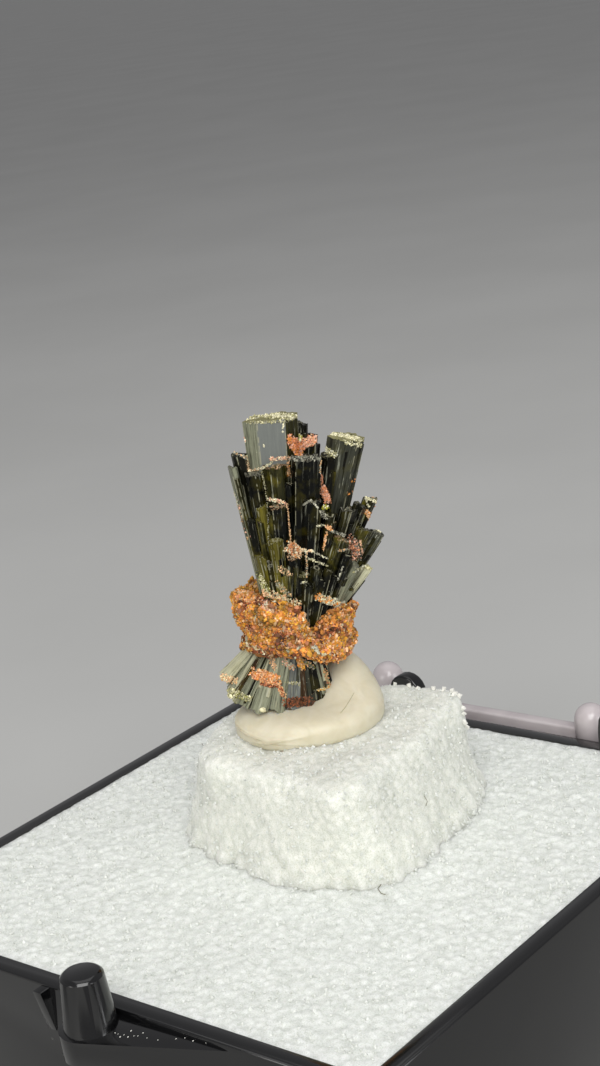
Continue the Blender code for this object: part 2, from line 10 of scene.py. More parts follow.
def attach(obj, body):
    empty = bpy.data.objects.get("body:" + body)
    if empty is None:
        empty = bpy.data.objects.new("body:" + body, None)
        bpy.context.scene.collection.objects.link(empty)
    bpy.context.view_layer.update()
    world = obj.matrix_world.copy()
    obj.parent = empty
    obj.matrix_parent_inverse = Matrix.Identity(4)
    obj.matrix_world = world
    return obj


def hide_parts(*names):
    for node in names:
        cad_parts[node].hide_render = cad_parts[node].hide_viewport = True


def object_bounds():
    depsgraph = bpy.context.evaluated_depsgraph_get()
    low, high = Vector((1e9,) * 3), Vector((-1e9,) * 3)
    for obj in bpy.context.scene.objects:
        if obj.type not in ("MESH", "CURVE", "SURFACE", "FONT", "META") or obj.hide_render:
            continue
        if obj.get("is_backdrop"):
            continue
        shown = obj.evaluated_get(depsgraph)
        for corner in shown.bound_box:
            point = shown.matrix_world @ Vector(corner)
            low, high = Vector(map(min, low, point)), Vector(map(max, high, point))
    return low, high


MM = 0.001

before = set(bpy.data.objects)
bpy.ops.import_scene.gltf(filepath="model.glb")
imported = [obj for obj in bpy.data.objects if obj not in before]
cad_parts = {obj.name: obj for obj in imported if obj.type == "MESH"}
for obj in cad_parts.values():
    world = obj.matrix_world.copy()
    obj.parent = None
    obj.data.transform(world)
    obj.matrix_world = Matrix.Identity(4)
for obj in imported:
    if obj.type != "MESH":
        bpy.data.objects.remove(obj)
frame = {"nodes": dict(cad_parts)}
cad_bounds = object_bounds()

# The camera, fitted to the corners of the foam. Pixels are those of a 600 x 1066 picture.
PICTURE = (600, 1066)
FOCAL_PIXELS = 1923.0
SENSOR = 36.0
EYE = Vector((-64.207, -58.457, 51.397))
EYE_RIGHT = Vector((0.620756, -0.772491, -0.133861))
EYE_UP = Vector((0.309449, 0.084539, 0.947151))
EYE_BACK = Vector((-0.720349, -0.629373, 0.291525))

# Box base, as in the solids.
BASE_HEIGHT = 9.0
HALF = 15.85
WALL = 0.85
FLOOR = 1.2
LEDGE_TOP = BASE_HEIGHT - 0.65
RAIL_X = 17.05
RAIL_WIDE = 0.8
RAIL_TOP = BASE_HEIGHT + 0.1
RAIL_Y = (-7.0, 8.1)
KNOBS = ((-6.2, BASE_HEIGHT + 1.5), (7.35, BASE_HEIGHT + 2.05))  # y, top
KNOB_RADIUS = 0.9

# The specimen's own axes: U to the right across its face, D out of its face and
# W up its length. Its middle is the centre of the waist.
FACE_TURN = math.radians(-48.2)
LEAN = math.radians(7.7)
WAIST = Vector((3.13, 1.36, BASE_HEIGHT + 10.2))
ACROSS = Vector((math.cos(FACE_TURN), math.sin(FACE_TURN), 0.0))
OUTWARD = Vector((math.sin(FACE_TURN), -math.cos(FACE_TURN), 0.0))
UP = Vector((0.0, 0.0, 1.0))
AXIS_U = ACROSS * math.cos(LEAN) - UP * math.sin(LEAN)
AXIS_W = UP * math.cos(LEAN) + ACROSS * math.sin(LEAN)
AXIS_D = OUTWARD

# Putty, as in the solids but with no hollow, for the specimen's foot stands in it.
BLOCK_TOP = BASE_HEIGHT + 5.0
PUTTY_LIP = 1.25
PUTTY_RISE = 2.1
PUTTY_CENTRE = (-0.05, 0.1)
PUTTY_RADII = (3.8, 3.25)
PUTTY_WIDEST = 0.6
PUTTY_SQUARENESS = 0.65
HUMP = (2.15, -1.5, 1.9, 2.2)  # u, d, and its reach along each
PUTTY_PRESSED = 0.15  # how far it is pressed into the block
PUTTY_DENTS = (2.2, 0.07)  # finger dents: how wide and how deep
FOLD_WIDTHS = (0.03, 0.08)  # below and above the line of a fold
FOLD_DEPTH = 0.17
# Folds low at its left front: towards which angle, how far round, at what share of
# its height, and how much they climb.
FOLDS = ((2.45, 0.5, 0.53, 0.1), (2.75, 0.4, 0.6, 0.12), (2.1, 0.3, 0.5, -0.06))

# Foam: crumbs of this size, and how finely they are modelled.
CRUMB = 0.36
CRUMB_DOME = 0.12  # how far a crumb stands out
CRUMB_STEP = 0.07  # how far one stands above the next
FOAM_SWELL = (1.5, 0.05)  # slow swells: how wide and how high
PAD_GAP = 0.01
PAD_BELOW = 0.03  # how far it lies below the base's edge
PAD_ROLL = (0.3, 0.06)  # its cut edge: how wide it rolls over and how deep
PAD_FACES = 290  # along each side
BLOCK_VOXEL = 0.11
BLOCK_WEAR = 70  # rounds of smoothing that wear its edges
BLOCK_MIDDLE = Vector((3.0, 0.5, 0.0))
BLOCK_LUMPS = (2.3, 0.2)  # how wide and how high
BLOCK_SKIRT = (1.0, 0.9)  # how far its foot spreads, and up to about what height
BLOCK_SINK = (1.0, 2.2)  # how far its foot sinks into the pad, and from what height
BLOCK_BELOW = 1.3  # how far its underside lies below the top of the pad
SHARP_CORNER = (457, 687, 2.4)  # the corner that stays sharp, by its pixel, and how far round
FOOT_TOP = BASE_HEIGHT + 0.45  # loose crumbs lie thickest below this
LOOSE_CRUMBS = (3600, 1500)  # on the pad and on the block
LOOSE_SIZES = (0.07, 0.21)

# Each piece's own seed.
SEEDS = {
    "prisms": 5, "back": 11, "back tones": 12, "thin prisms": 31, "grain shapes": 3,
    "crust": 17, "fan": 19, "edges": 23, "crumbs": 29, "lint": 41,
}

# Surface colours, sRGB.
TONES = {
    "black": "#0a0b08",
    "coal": "#11110b",
    "moss": "#2b2a15",
    "olive": "#5a5420",
    "slate": "#6e716d",
    "grey": "#393a31",
    "sage": "#82846f",
    "pale": "#b0ae92",
    "brown": "#3a2a1b",
    "ash": "#8e8c7c",
    "chalk": "#c9c6b0",
    "cream": "#dfd9b2",
    "ivory": "#efe9c8",
    "white": "#f1f0e8",
    "khaki": "#aaa578",
    "peach": "#e9bf94",
    "pink": "#e2b096",
    "salmon": "#d68e62",
    "orange": "#de903e",
    "gold": "#e5a83a",
    "tan": "#dcb280",
    "rust": "#9c542e",
    "umber": "#6a4227",
    "plum": "#74503f",
    "lime": "#b4b03a",
    "moss_light": "#8d8c44",
}

# Every prism: tip (u, w, d), foot (u, w, d), width, thickness, as in the solids,
# then the colour of its body, the colour of its tip and how far that reaches down.
SHEAF = (
    ((-1.35, 10.5, -0.6), (-0.6, 0.5, -0.4), 2.75, 1.5, "moss", "khaki", 0.12),
    ((2.35, 9.55, -0.4), (0.75, 0.4, -0.4), 1.85, 1.3, "grey", "khaki", 0.16),
    ((0.35, 8.8, 0.8), (0.2, 0.4, 0.6), 1.45, 1.2, "black", "ash", 0.10),
    ((1.45, 8.75, 0.1), (0.55, 0.4, 0.1), 0.85, 0.9, "coal", "khaki", 0.10),
    ((0.55, 9.65, -0.6), (0.2, 0.4, -0.5), 0.9, 0.8, "coal", "coal", 0.05),
    ((0.15, 10.0, -1.3), (0.05, 0.4, -0.8), 0.8, 0.9, "coal", "grey", 0.05),
    ((-1.15, 8.3, 0.35), (-0.45, 0.4, 0.3), 1.25, 1.1, "moss", "peach", 0.12),
    ((-2.15, 7.95, 0.3), (-0.9, 0.4, 0.3), 0.95, 1.0, "black", "ash", 0.12),
    ((-0.95, 6.5, 1.0), (-0.45, 0.2, 0.8), 1.05, 0.95, "black", "peach", 0.16),
    ((0.6, 6.85, 1.4), (0.3, 0.2, 0.9), 0.9, 0.8, "black", "ash", 0.14),
    ((-2.9, 8.75, -0.3), (-1.2, 0.3, -0.1), 0.75, 1.0, "coal", "tan", 0.06),
    ((-3.15, 8.2, 0.1), (-1.35, 0.3, 0.1), 0.5, 0.8, "sage", "ash", 0.10),
    ((3.6, 6.35, -0.6), (1.1, 0.2, -0.3), 0.75, 0.9, "moss", "cream", 0.12),
    ((3.05, 6.2, 0.0), (0.95, 0.2, 0.0), 0.7, 0.8, "coal", "ash", 0.10),
    ((3.9, 4.75, -0.2), (1.2, 0.1, -0.1), 0.75, 0.8, "grey", "chalk", 0.14),
    ((3.2, 5.05, 0.4), (1.0, 0.1, 0.3), 0.8, 0.8, "moss", "ash", 0.10),
    ((3.4, 3.1, 0.3), (1.25, 0.0, 0.2), 0.6, 0.7, "pale", "khaki", 0.15),
    ((2.4, 6.15, 0.7), (0.8, 0.1, 0.5), 0.8, 0.8, "coal", "ash", 0.10),
    ((1.5, 6.0, 1.1), (0.6, 0.1, 0.7), 0.65, 0.7, "black", "chalk", 0.08),
    ((2.05, 4.85, 1.2), (0.75, 0.0, 0.9), 0.95, 0.8, "moss", "peach", 0.10),
    ((2.3, 4.05, 1.45), (0.9, -0.2, 1.0), 0.7, 0.7, "black", "ash", 0.10),
    ((2.75, 3.4, 1.0), (1.1, -0.2, 0.7), 0.5, 0.7, "sage", "ash", 0.10),
    ((-1.8, 6.4, 0.9), (-0.8, 0.1, 0.6), 0.6, 0.7, "olive", "khaki", 0.08),
    ((-1.15, 4.9, 1.5), (-0.6, 0.0, 0.9), 0.7, 0.7, "olive", "khaki", 0.08),
    ((-0.3, 4.15, 1.8), (-0.2, -0.4, 1.1), 0.75, 0.7, "black", "peach", 0.12),
    ((0.8, 3.6, 1.9), (0.4, -0.4, 1.15), 0.6, 0.6, "black", "chalk", 0.08),
    ((1.4, 3.4, 1.7), (0.6, -0.4, 1.05), 0.55, 0.6, "coal", "cream", 0.08),
    ((0.35, 2.8, 1.95), (0.2, -0.6, 1.2), 0.65, 0.6, "coal", "ash", 0.08),
    ((-1.9, 4.0, 1.2), (-0.95, -0.2, 0.7), 0.55, 0.7, "olive", "khaki", 0.10),
)
HEART = ((0.05, 6.6, -0.45), (0.0, -0.5, -0.1), 3.6, 2.2, "black", "coal", 0.02)
FAN_HEART = ((-0.9, -3.4, 0.0), (0.0, 0.4, 0.0), 3.6, 2.2, "brown", "brown", 0.02)
FAN = (
    ((-3.6, -2.75, -0.1), (-0.9, 0.3, -0.1), 0.8, 0.9, "pale", "tan", 0.35),
    ((-3.3, -3.55, 0.3), (-0.9, 0.3, 0.1), 0.75, 0.9, "pale", "moss_light", 0.3),
    ((-2.75, -3.85, 0.8), (-0.8, 0.3, 0.4), 0.75, 0.8, "sage", "moss_light", 0.25),
    ((-1.95, -4.0, 1.1), (-0.6, 0.3, 0.5), 0.95, 0.8, "sage", "ash", 0.15),
    ((-1.1, -4.0, 1.25), (-0.4, 0.3, 0.6), 0.95, 0.8, "sage", "ash", 0.15),
    ((-0.3, -3.95, 1.2), (-0.1, 0.3, 0.6), 0.95, 0.8, "slate", "umber", 0.5),
    ((0.45, -3.9, 1.1), (0.1, 0.3, 0.6), 0.95, 0.8, "grey", "umber", 0.5),
    ((1.1, -3.9, 0.8), (0.3, 0.3, 0.5), 0.85, 0.8, "coal", "umber", 0.2),
    ((1.6, -3.85, 0.3), (0.5, 0.3, 0.3), 0.75, 0.8, "coal", "ash", 0.1),
)
BACK_ROWS = ((6, 8.9, -1.1, 2.7), (6, 7.3, -1.8, 3.0), (5, 5.3, -2.2, 2.9), (4, 3.4, -2.3, 2.3))
BACK_TONES = ("black", "coal", "moss", "black", "grey", "coal", "olive")
CROWN_TONES = ("ash", "khaki", "chalk", "peach", "grey")
CROWN_COVER = (0.3, 0.62)  # how much of a small prism's tip is dusted
FAN_TONES = ("sage", "pale", "grey", "coal", "brown")
PAINTED_THREADS = {"black": 0.4, "coal": 0.6}  # how strongly the painted thread highlights, groove shade and glints show
PAINTED_GLOW = {"olive": 1.0, "moss": 0.75, "brown": 0.5}  # how strongly a prism shows the painted olive glow, as light through it
FAN_BACK_COUNT = 8
PRISM_TAPER = 0.72
PRISM_RINGS = (0.35, 0.6, 0.8, 0.92, 1.0)  # at these shares of its length
FLATS = 0.87  # a hexagon across its flats, as a share of across its corners
SIDES_FROM = 0.4  # points further out than this are on a prism's sides
THREAD_SQUEEZE = 0.07  # so that the threads run long along the prism
SPLINTERS = 4  # thin prisms against each large one
WINDOW = 0  # the broad prism with a smooth front face, painted slate as a painted reflection of the light
WINDOW_HALF = 0.26  # half the width of that face, as a share of the prism's

# Growths on the faces: a line or a patch in the picture's pixels, from (x, y) to
# (x, y), its half width, how many grains, their size in mm, and their colours.
GROWTHS = (
    (243, 419, 262, 415, 2.5, 90, 0.13, ("khaki", "cream", "chalk")),
    (262, 415, 296, 417, 3.0, 170, 0.13, ("khaki", "cream", "ivory")),
    (247, 423, 290, 421, 1.5, 60, 0.10, ("khaki", "ash", "cream")),
    (331, 433, 362, 440, 2.0, 150, 0.12, ("ivory", "cream", "ivory", "khaki")),
    (344, 442, 362, 445, 2.4, 50, 0.11, ("ivory", "cream", "khaki")),
    (322, 447, 336, 456, 3.0, 50, 0.13, ("cream", "khaki", "chalk")),
    (247, 456, 249, 471, 1.2, 36, 0.09, ("peach", "cream")),
    (249, 471, 263, 468, 1.2, 36, 0.09, ("ivory", "peach")),
    (263, 468, 273, 462, 1.2, 30, 0.09, ("ivory", "cream")),
    (271, 459, 290, 458, 2.0, 60, 0.10, ("peach", "ivory", "pink")),
    (244, 437, 245, 443, 1.2, 14, 0.10, ("pink", "ivory")),
    (283, 423, 283, 432, 0.7, 14, 0.09, ("ivory",)),
    (264, 445, 264, 447, 0.7, 5, 0.10, ("ivory",)),
    (291, 440, 300, 452, 6.0, 190, 0.15, ("salmon", "salmon", "pink", "orange")),
    (300, 435, 301, 440, 1.8, 22, 0.13, ("lime", "ivory", "ivory")),
    (304, 444, 314, 439, 5.0, 130, 0.14, ("pink", "peach", "pink", "salmon")),
    (291, 459, 320, 458, 2.6, 110, 0.12, ("ash", "chalk", "grey", "ash")),
    (288, 462, 289, 477, 1.6, 46, 0.10, ("peach", "orange", "tan")),
    (262, 471, 267, 500, 0.8, 50, 0.08, ("khaki", "cream")),
    (267, 500, 269, 545, 0.8, 50, 0.08, ("khaki", "ash")),
    (268, 499, 286, 503, 1.6, 66, 0.11, ("peach", "pink", "ivory")),
    (287, 503, 291, 545, 0.8, 70, 0.08, ("tan", "peach")),
    (303, 505, 311, 500, 0.9, 26, 0.09, ("ash", "chalk")),
    (311, 500, 318, 508, 0.9, 26, 0.09, ("ash", "chalk")),
    (321, 460, 320, 474, 0.9, 26, 0.08, ("chalk", "tan")),
    (321, 475, 323, 487, 1.3, 34, 0.11, ("pink", "salmon")),
    (323, 489, 328, 501, 3.8, 130, 0.14, ("salmon", "pink", "salmon")),
    (323, 508, 328, 507, 1.6, 14, 0.20, ("lime", "lime", "ivory")),
    (321, 511, 326, 519, 2.2, 26, 0.12, ("chalk", "ash")),
    (366, 497, 378, 503, 1.3, 42, 0.10, ("ivory", "cream")),
    (366, 498, 369, 508, 1.0, 22, 0.09, ("cream", "chalk")),
    (366, 511, 371, 519, 2.6, 44, 0.12, ("orange", "tan", "peach")),
    (375, 526, 382, 531, 2.2, 44, 0.11, ("ivory", "chalk", "ash")),
    (351, 538, 357, 558, 5.0, 130, 0.14, ("plum", "pink", "ash", "salmon")),
    (360, 540, 363, 555, 1.0, 30, 0.09, ("pink", "peach")),
    (327, 527, 331, 529, 2.4, 34, 0.12, ("orange", "peach")),
    (317, 526, 325, 525, 1.2, 26, 0.10, ("ivory", "cream")),
    (327, 532, 323, 550, 1.1, 50, 0.10, ("orange", "tan", "peach")),
    (332, 531, 345, 536, 1.4, 34, 0.10, ("ash", "chalk")),
    (290, 546, 298, 553, 6.0, 170, 0.14, ("peach", "orange", "ivory", "salmon")),
    (284, 551, 291, 550, 1.2, 26, 0.10, ("ivory", "peach")),
    (299, 550, 312, 551, 1.5, 44, 0.11, ("peach", "ivory")),
    (312, 551, 328, 559, 1.0, 24, 0.09, ("ivory", "cream", "chalk")),
    (307, 558, 328, 566, 1.2, 34, 0.09, ("cream", "ivory", "khaki")),
    (306, 551, 307, 577, 1.0, 40, 0.09, ("tan", "chalk")),
    (338, 551, 348, 549, 1.2, 26, 0.10, ("tan", "ash")),
    (343, 566, 338, 580, 0.8, 30, 0.08, ("chalk", "ash")),
    (353, 572, 364, 567, 1.4, 30, 0.10, ("chalk", "khaki")),
    (366, 567, 372, 569, 1.6, 26, 0.11, ("cream", "khaki")),
    (258, 575, 267, 592, 4.0, 110, 0.11, ("khaki", "cream", "moss_light")),
    (280, 568, 290, 575, 3.0, 50, 0.11, ("peach", "khaki", "tan")),
    (277, 583, 289, 596, 3.0, 60, 0.12, ("khaki", "tan", "ash")),
    (301, 583, 306, 582, 1.0, 16, 0.10, ("cream", "ash")),
    (250, 560, 257, 590, 0.8, 50, 0.08, ("khaki", "pale")),
    (234, 492, 243, 520, 0.8, 50, 0.08, ("chalk", "pale")),
    (232, 452, 247, 458, 1.4, 34, 0.10, ("ash", "tan", "chalk")),
)

# Growths on the crust and on the lower fan, given the same way.
LOW_GROWTHS = (
    (236, 592, 255, 600, 6.0, 150, 0.22, ("orange", "tan", "peach")),
    (263, 603, 275, 612, 4.0, 50, 0.20, ("pink", "ivory", "plum")),
    (276, 600, 277, 607, 3.0, 16, 0.16, ("umber", "coal")),
    (268, 612, 300, 620, 5.0, 170, 0.20, ("gold", "orange", "gold", "peach")),
    (240, 615, 262, 636, 8.0, 190, 0.20, ("orange", "tan", "rust", "orange")),
    (287, 628, 304, 638, 3.6, 90, 0.16, ("plum", "rust", "salmon")),
    (264, 592, 300, 604, 4.0, 110, 0.16, ("cream", "peach", "tan")),
    (318, 597, 345, 606, 4.0, 100, 0.17, ("tan", "cream", "chalk", "orange")),
    (343, 612, 352, 632, 4.0, 110, 0.21, ("orange", "salmon", "tan")),
    (325, 641, 349, 652, 7.0, 190, 0.22, ("gold", "orange", "gold", "peach")),
    (331, 652, 339, 656, 4.0, 60, 0.17, ("rust", "plum", "salmon")),
    (312, 657, 345, 663, 4.0, 160, 0.17, ("rust", "orange", "umber", "tan")),
    (313, 644, 318, 655, 2.4, 14, 0.28, ("ash", "slate", "chalk")),
    (300, 641, 308, 650, 3.6, 60, 0.18, ("salmon", "rust", "peach")),
    (295, 652, 303, 668, 3.0, 70, 0.17, ("gold", "orange", "tan")),
    (281, 642, 297, 648, 3.0, 50, 0.17, ("plum", "ash", "pink")),
    (247, 645, 265, 652, 3.6, 90, 0.17, ("ivory", "cream", "peach")),
    (243, 643, 248, 650, 2.4, 30, 0.15, ("gold", "cream")),
    (254, 673, 276, 680, 6.0, 260, 0.15, ("salmon", "tan", "orange", "peach")),
    (262, 684, 274, 686, 2.0, 60, 0.13, ("rust", "umber", "salmon")),
    (277, 682, 284, 696, 2.6, 70, 0.14, ("tan", "salmon", "rust")),
    (268, 650, 275, 668, 2.6, 70, 0.13, ("tan", "peach", "ash")),
    (284, 662, 293, 668, 3.0, 40, 0.13, ("pink", "chalk", "tan")),
    (286, 703, 310, 701, 5.0, 230, 0.15, ("umber", "rust", "umber", "brown")),
    (301, 660, 314, 668, 2.4, 40, 0.14, ("tan", "moss_light", "ash")),
    (221, 677, 236, 681, 3.6, 110, 0.13, ("tan", "peach", "cream")),
    (229, 691, 250, 699, 3.6, 90, 0.13, ("moss_light", "khaki", "cream")),
    (228, 695, 231, 696, 1.0, 4, 0.34, ("cream", "khaki")),
    (263, 710, 264, 710, 0.5, 3, 0.26, ("cream",)),
    (325, 670, 330, 688, 2.2, 46, 0.12, ("salmon", "tan", "khaki")),
    (318, 690, 331, 688, 1.4, 24, 0.12, ("cream", "gold")),
    (285, 682, 300, 684, 1.6, 20, 0.12, ("chalk", "khaki")),
)

BACK_GROWTHS = (46, 26)  # on the sides and back: how many, and of how many grains
BACK_GROWTH_TONES = (
    ("cream", "khaki"), ("peach", "orange", "salmon"), ("ash", "chalk"), ("tan", "pink"),
)
GROWTH_DENSITY = 1.7  # grains for each that a growth's row names
ONE_SURFACE = 0.9  # how far in front or behind its middle a growth reaches

CRUST_VOXEL = 0.09
CRUST_GRAINS = 15000
KNOB = 0.42  # from one knob of the crust to the next
KNOB_HEIGHT = 0.2
LUMP = 0.9  # and from one lump to the next
LUMP_HEIGHT = 0.34
GROWN_IN = 0.55  # how far its inner side is moved in, on to the prisms
FINE_GRAINS = (0.08, 0.17)
COARSE_GRAINS = (0.18, 0.3)
LOWER_RIM = (-0.6, -1.35, 0.9)  # how low the crust reaches in front, left and right of u

# Where the crust's side swells (u, w), how widely, and how far towards +u.
CRUST_SWELLS = ((-2.9, 1.5, 0.7, -0.4), (-3.1, 0.0, 1.0, 0.35), (-2.9, -1.0, 0.6, 0.2))

HAIR_SIDES = 5
HAIR_STEP = 0.7  # a hair ends where the surface falls away by more than this
# Hairs: the pixels that each passes, its width and its tone.
HAIRS = (
    (((354, 693), (350, 700), (345, 708), (339, 715)), 0.022, "khaki"),
    (((381, 884), (378, 889), (381, 894), (387, 895)), 0.05, "ash"),
    (((300, 868), (306, 874), (313, 871), (319, 877)), 0.06, "white"),
    (((328, 872), (334, 879), (342, 878), (345, 884)), 0.06, "white"),
    (((202, 744), (205, 749), (203, 755)), 0.04, "ash"),
    (((424, 796), (427, 801), (425, 808)), 0.04, "ash"),
)
# Torn tufts of foam: from a pixel near the block's edge to the pixel where each ends,
# and its width.
TUFTS = (
    (459, 721, 466, 726, 0.2), (458, 719, 463, 721, 0.26), (455, 692, 458, 686, 0.26),
    (452, 691, 451, 687, 0.24), (459, 706, 462, 708, 0.26), (444, 689, 446, 685, 0.22),
    (433, 687, 432, 684, 0.26), (420, 685, 422, 682, 0.22), (408, 683, 407, 680, 0.24),
    (460, 713, 463, 714, 0.22), (396, 682, 397, 679, 0.2), (457, 698, 460, 696, 0.26),
)
# Chips and specks of foam: pixel, size and flatness.
CHIPS = (
    (413, 846, 0.35, 0.4), (131, 1031, 0.12, 0.5), (143, 1033, 0.1, 0.5), (120, 1037, 0.11, 0.5),
    (124, 1035, 0.08, 0.5), (128, 1037, 0.1, 0.5), (134, 1036, 0.07, 0.5), (118, 1034, 0.07, 0.5),
    (176, 1039, 0.1, 0.5), (193, 1041, 0.1, 0.5), (138, 1036, 0.08, 0.5), (115, 1033, 0.08, 0.5),
    (147, 1038, 0.07, 0.5), (158, 1040, 0.07, 0.5), (185, 1038, 0.08, 0.5), (206, 1043, 0.07, 0.5),
    (341, 884, 0.16, 0.5), (302, 872, 0.14, 0.5),
)


def linear(hex_colour):
    """An sRGB hex colour as linear light."""
    parts = [int(hex_colour[i : i + 2], 16) / 255 for i in (1, 3, 5)]
    light = [c / 12.92 if c <= 0.04045 else ((c + 0.055) / 1.055) ** 2.4 for c in parts]
    return (*light, 1.0)


def in_specimen(u, w, d):
    """A place given along the specimen's own axes."""
    return WAIST + AXIS_U * u + AXIS_W * w + AXIS_D * d


def sight_line(x, y):
    """The direction in which the camera sees a pixel."""
    right = (x - PICTURE[0] / 2) / FOCAL_PIXELS
    down = (y - PICTURE[1] / 2) / FOCAL_PIXELS
    return (EYE_RIGHT * right - EYE_UP * down - EYE_BACK).normalized()


def add(tree, kind, fields=None, values=None, links=None, stops=None):
    """Adds a node, sets its fields, sockets and colour stops, and links what comes in."""
    made = tree.nodes.new(kind)
    for name, value in (fields or {}).items():
        setattr(made, name, value)
    for socket, value in (values or {}).items():
        made.inputs[socket].default_value = value
    for socket, source in (links or {}).items():
        tree.links.new(source, made.inputs[socket])
    for count, (place, colour) in enumerate(stops or ()):
        stop = made.color_ramp.elements[count] if count < 2 else made.color_ramp.elements.new(place)
        stop.position = place
        stop.color = colour
    return made


def new_material(name):
    """A material with nothing but its shader, ready for its nodes."""
    made = bpy.data.materials.new(name)
    made.use_nodes = True
    tree = made.node_tree
    shader = tree.nodes["Principled BSDF"]
    return made, tree, shader


def settle(shader, **values):
    """Sets the shader's own sockets; underscores stand for spaces."""
    for name, value in values.items():
        shader.inputs[name.replace("_", " ")].default_value = value


def black_polystyrene():
    # Injection-moulded polystyrene: deep black with a sharp gloss, handled, so that
    # faint wipe marks break the gloss, and a little dust lies on it.
    made, tree, shader = new_material("black polystyrene")
    settle(shader, IOR=1.59)
    place = add(tree, "ShaderNodeTexCoord").outputs["Object"]
    # Wipe marks about 4.5 mm long.
    wipes = add(
        tree, "ShaderNodeTexNoise", values={"Scale": 220.0, "Detail": 5.0, "Roughness": 0.6},
        links={"Vector": place},
    )
    # Dust lies about 0.9 mm apart in specks of about 0.08 mm.
    dust = add(tree, "ShaderNodeTexVoronoi", values={"Scale": 1100.0}, links={"Vector": place})
    speck = add(
        tree, "ShaderNodeMapRange",
        values={"From Min": 0.06, "From Max": 0.11, "To Min": 1.0, "To Max": 0.0},
        links={"Value": dust.outputs["Distance"]},
    )
    patchy = add(
        tree, "ShaderNodeTexNoise", values={"Scale": 160.0, "Detail": 2.0},
        links={"Vector": place},
    )
    where = add(
        tree, "ShaderNodeMapRange", values={"From Min": 0.58, "From Max": 0.68},
        links={"Value": patchy.outputs["Fac"]},
    )
    dusty = add(
        tree, "ShaderNodeMath", fields={"operation": "MULTIPLY"},
        links={0: speck.outputs[0], 1: where.outputs[0]},
    )
    colour = add(
        tree, "ShaderNodeMix", fields={"data_type": "RGBA"},
        values={6: linear("#0b0b0c"), 7: linear("#8b8983")}, links={0: dusty.outputs[0]},
    )
    tree.links.new(colour.outputs[2], shader.inputs["Base Color"])
    gloss = add(
        tree, "ShaderNodeMapRange",
        values={"From Min": 0.35, "From Max": 0.75, "To Min": 0.07, "To Max": 0.2},
        links={"Value": wipes.outputs["Fac"]},
    )
    rough = add(
        tree, "ShaderNodeMath", fields={"operation": "MAXIMUM"},
        links={0: gloss.outputs[0], 1: dusty.outputs[0]},
    )
    tree.links.new(rough.outputs[0], shader.inputs["Roughness"])
    # The moulding's own slow waviness, about 4 mm from crest to crest.
    waves = add(
        tree, "ShaderNodeTexNoise", values={"Scale": 250.0, "Detail": 1.0},
        links={"Vector": place},
    )
    bump = add(
        tree, "ShaderNodeBump", values={"Strength": 0.12, "Distance": 0.0002},
        links={"Height": waves.outputs["Fac"]},
    )
    tree.links.new(bump.outputs[0], shader.inputs["Normal"])
    return made


def clear_polystyrene():
    # Injection-moulded clear polystyrene, thick enough to look grey, with a faint
    # pink cast and flow lines.
    made, tree, shader = new_material("clear polystyrene")
    settle(shader, IOR=1.59, Transmission_Weight=0.3)
    place = add(tree, "ShaderNodeTexCoord").outputs["Object"]
    # Flow lines about 2.4 mm apart.
    flow = add(
        tree, "ShaderNodeTexNoise", values={"Scale": 420.0, "Detail": 3.0, "Distortion": 0.6},
        links={"Vector": place},
    )
    tint = add(
        tree, "ShaderNodeValToRGB", links={"Fac": flow.outputs["Fac"]},
        stops=((0.3, linear("#c9bfc1")), (0.7, linear("#e2d9da"))),
    )
    tree.links.new(tint.outputs[0], shader.inputs["Base Color"])
    gloss = add(
        tree, "ShaderNodeMapRange", values={"To Min": 0.08, "To Max": 0.26},
        links={"Value": flow.outputs["Fac"]},
    )
    tree.links.new(gloss.outputs[0], shader.inputs["Roughness"])
    bump = add(
        tree, "ShaderNodeBump", values={"Strength": 0.15, "Distance": 0.0001},
        links={"Height": flow.outputs["Fac"]},
    )
    tree.links.new(bump.outputs[0], shader.inputs["Normal"])
    return made


def bead_foam(name, bright, dull, warm, through):
    # Expanded polystyrene, cut and torn: thin-walled beads that scatter light, so it
    # is a soft white with crumbs, with painted shade making it a little darker between the beads.
    made, tree, shader = new_material(name)
    settle(
        shader, IOR=1.59, Roughness=0.6, Specular_IOR_Level=0.25, Subsurface_Weight=through,
        Subsurface_Scale=0.0012,
    )
    settle(shader, Subsurface_Radius=(1.0, 1.0, 0.95))
    place = add(tree, "ShaderNodeTexCoord").outputs["Object"]
    # Beads of about 0.36 mm.
    beads = add(tree, "ShaderNodeTexVoronoi", values={"Scale": 2780.0}, links={"Vector": place})
    # Painted shade: each bead is lighter in its middle and darker where it meets the next.
    bead_shading = add(
        tree, "ShaderNodeValToRGB", links={"Fac": beads.outputs["Distance"]},
        stops=((0.15, linear(bright)), (0.75, linear(dull))),
    )
    # Crumbs and cell walls of about 0.07 mm.
    crumbs = add(
        tree, "ShaderNodeTexNoise", values={"Scale": 14000.0, "Detail": 3.0, "Roughness": 0.65},
        links={"Vector": place},
    )
    shade = add(
        tree, "ShaderNodeValToRGB", links={"Fac": crumbs.outputs["Fac"]},
        stops=((0.35, linear(warm)), (0.55, linear("#ffffff"))),
    )
    colour = add(
        tree, "ShaderNodeMix", fields={"data_type": "RGBA", "blend_type": "MULTIPLY"},
        values={0: 1.0}, links={6: bead_shading.outputs[0], 7: shade.outputs[0]},
    )
    tree.links.new(colour.outputs[2], shader.inputs["Base Color"])
    bump = add(
        tree, "ShaderNodeBump", values={"Strength": 0.6, "Distance": 0.00006},
        links={"Height": crumbs.outputs["Fac"]},
    )
    tree.links.new(bump.outputs[0], shader.inputs["Normal"])
    return made


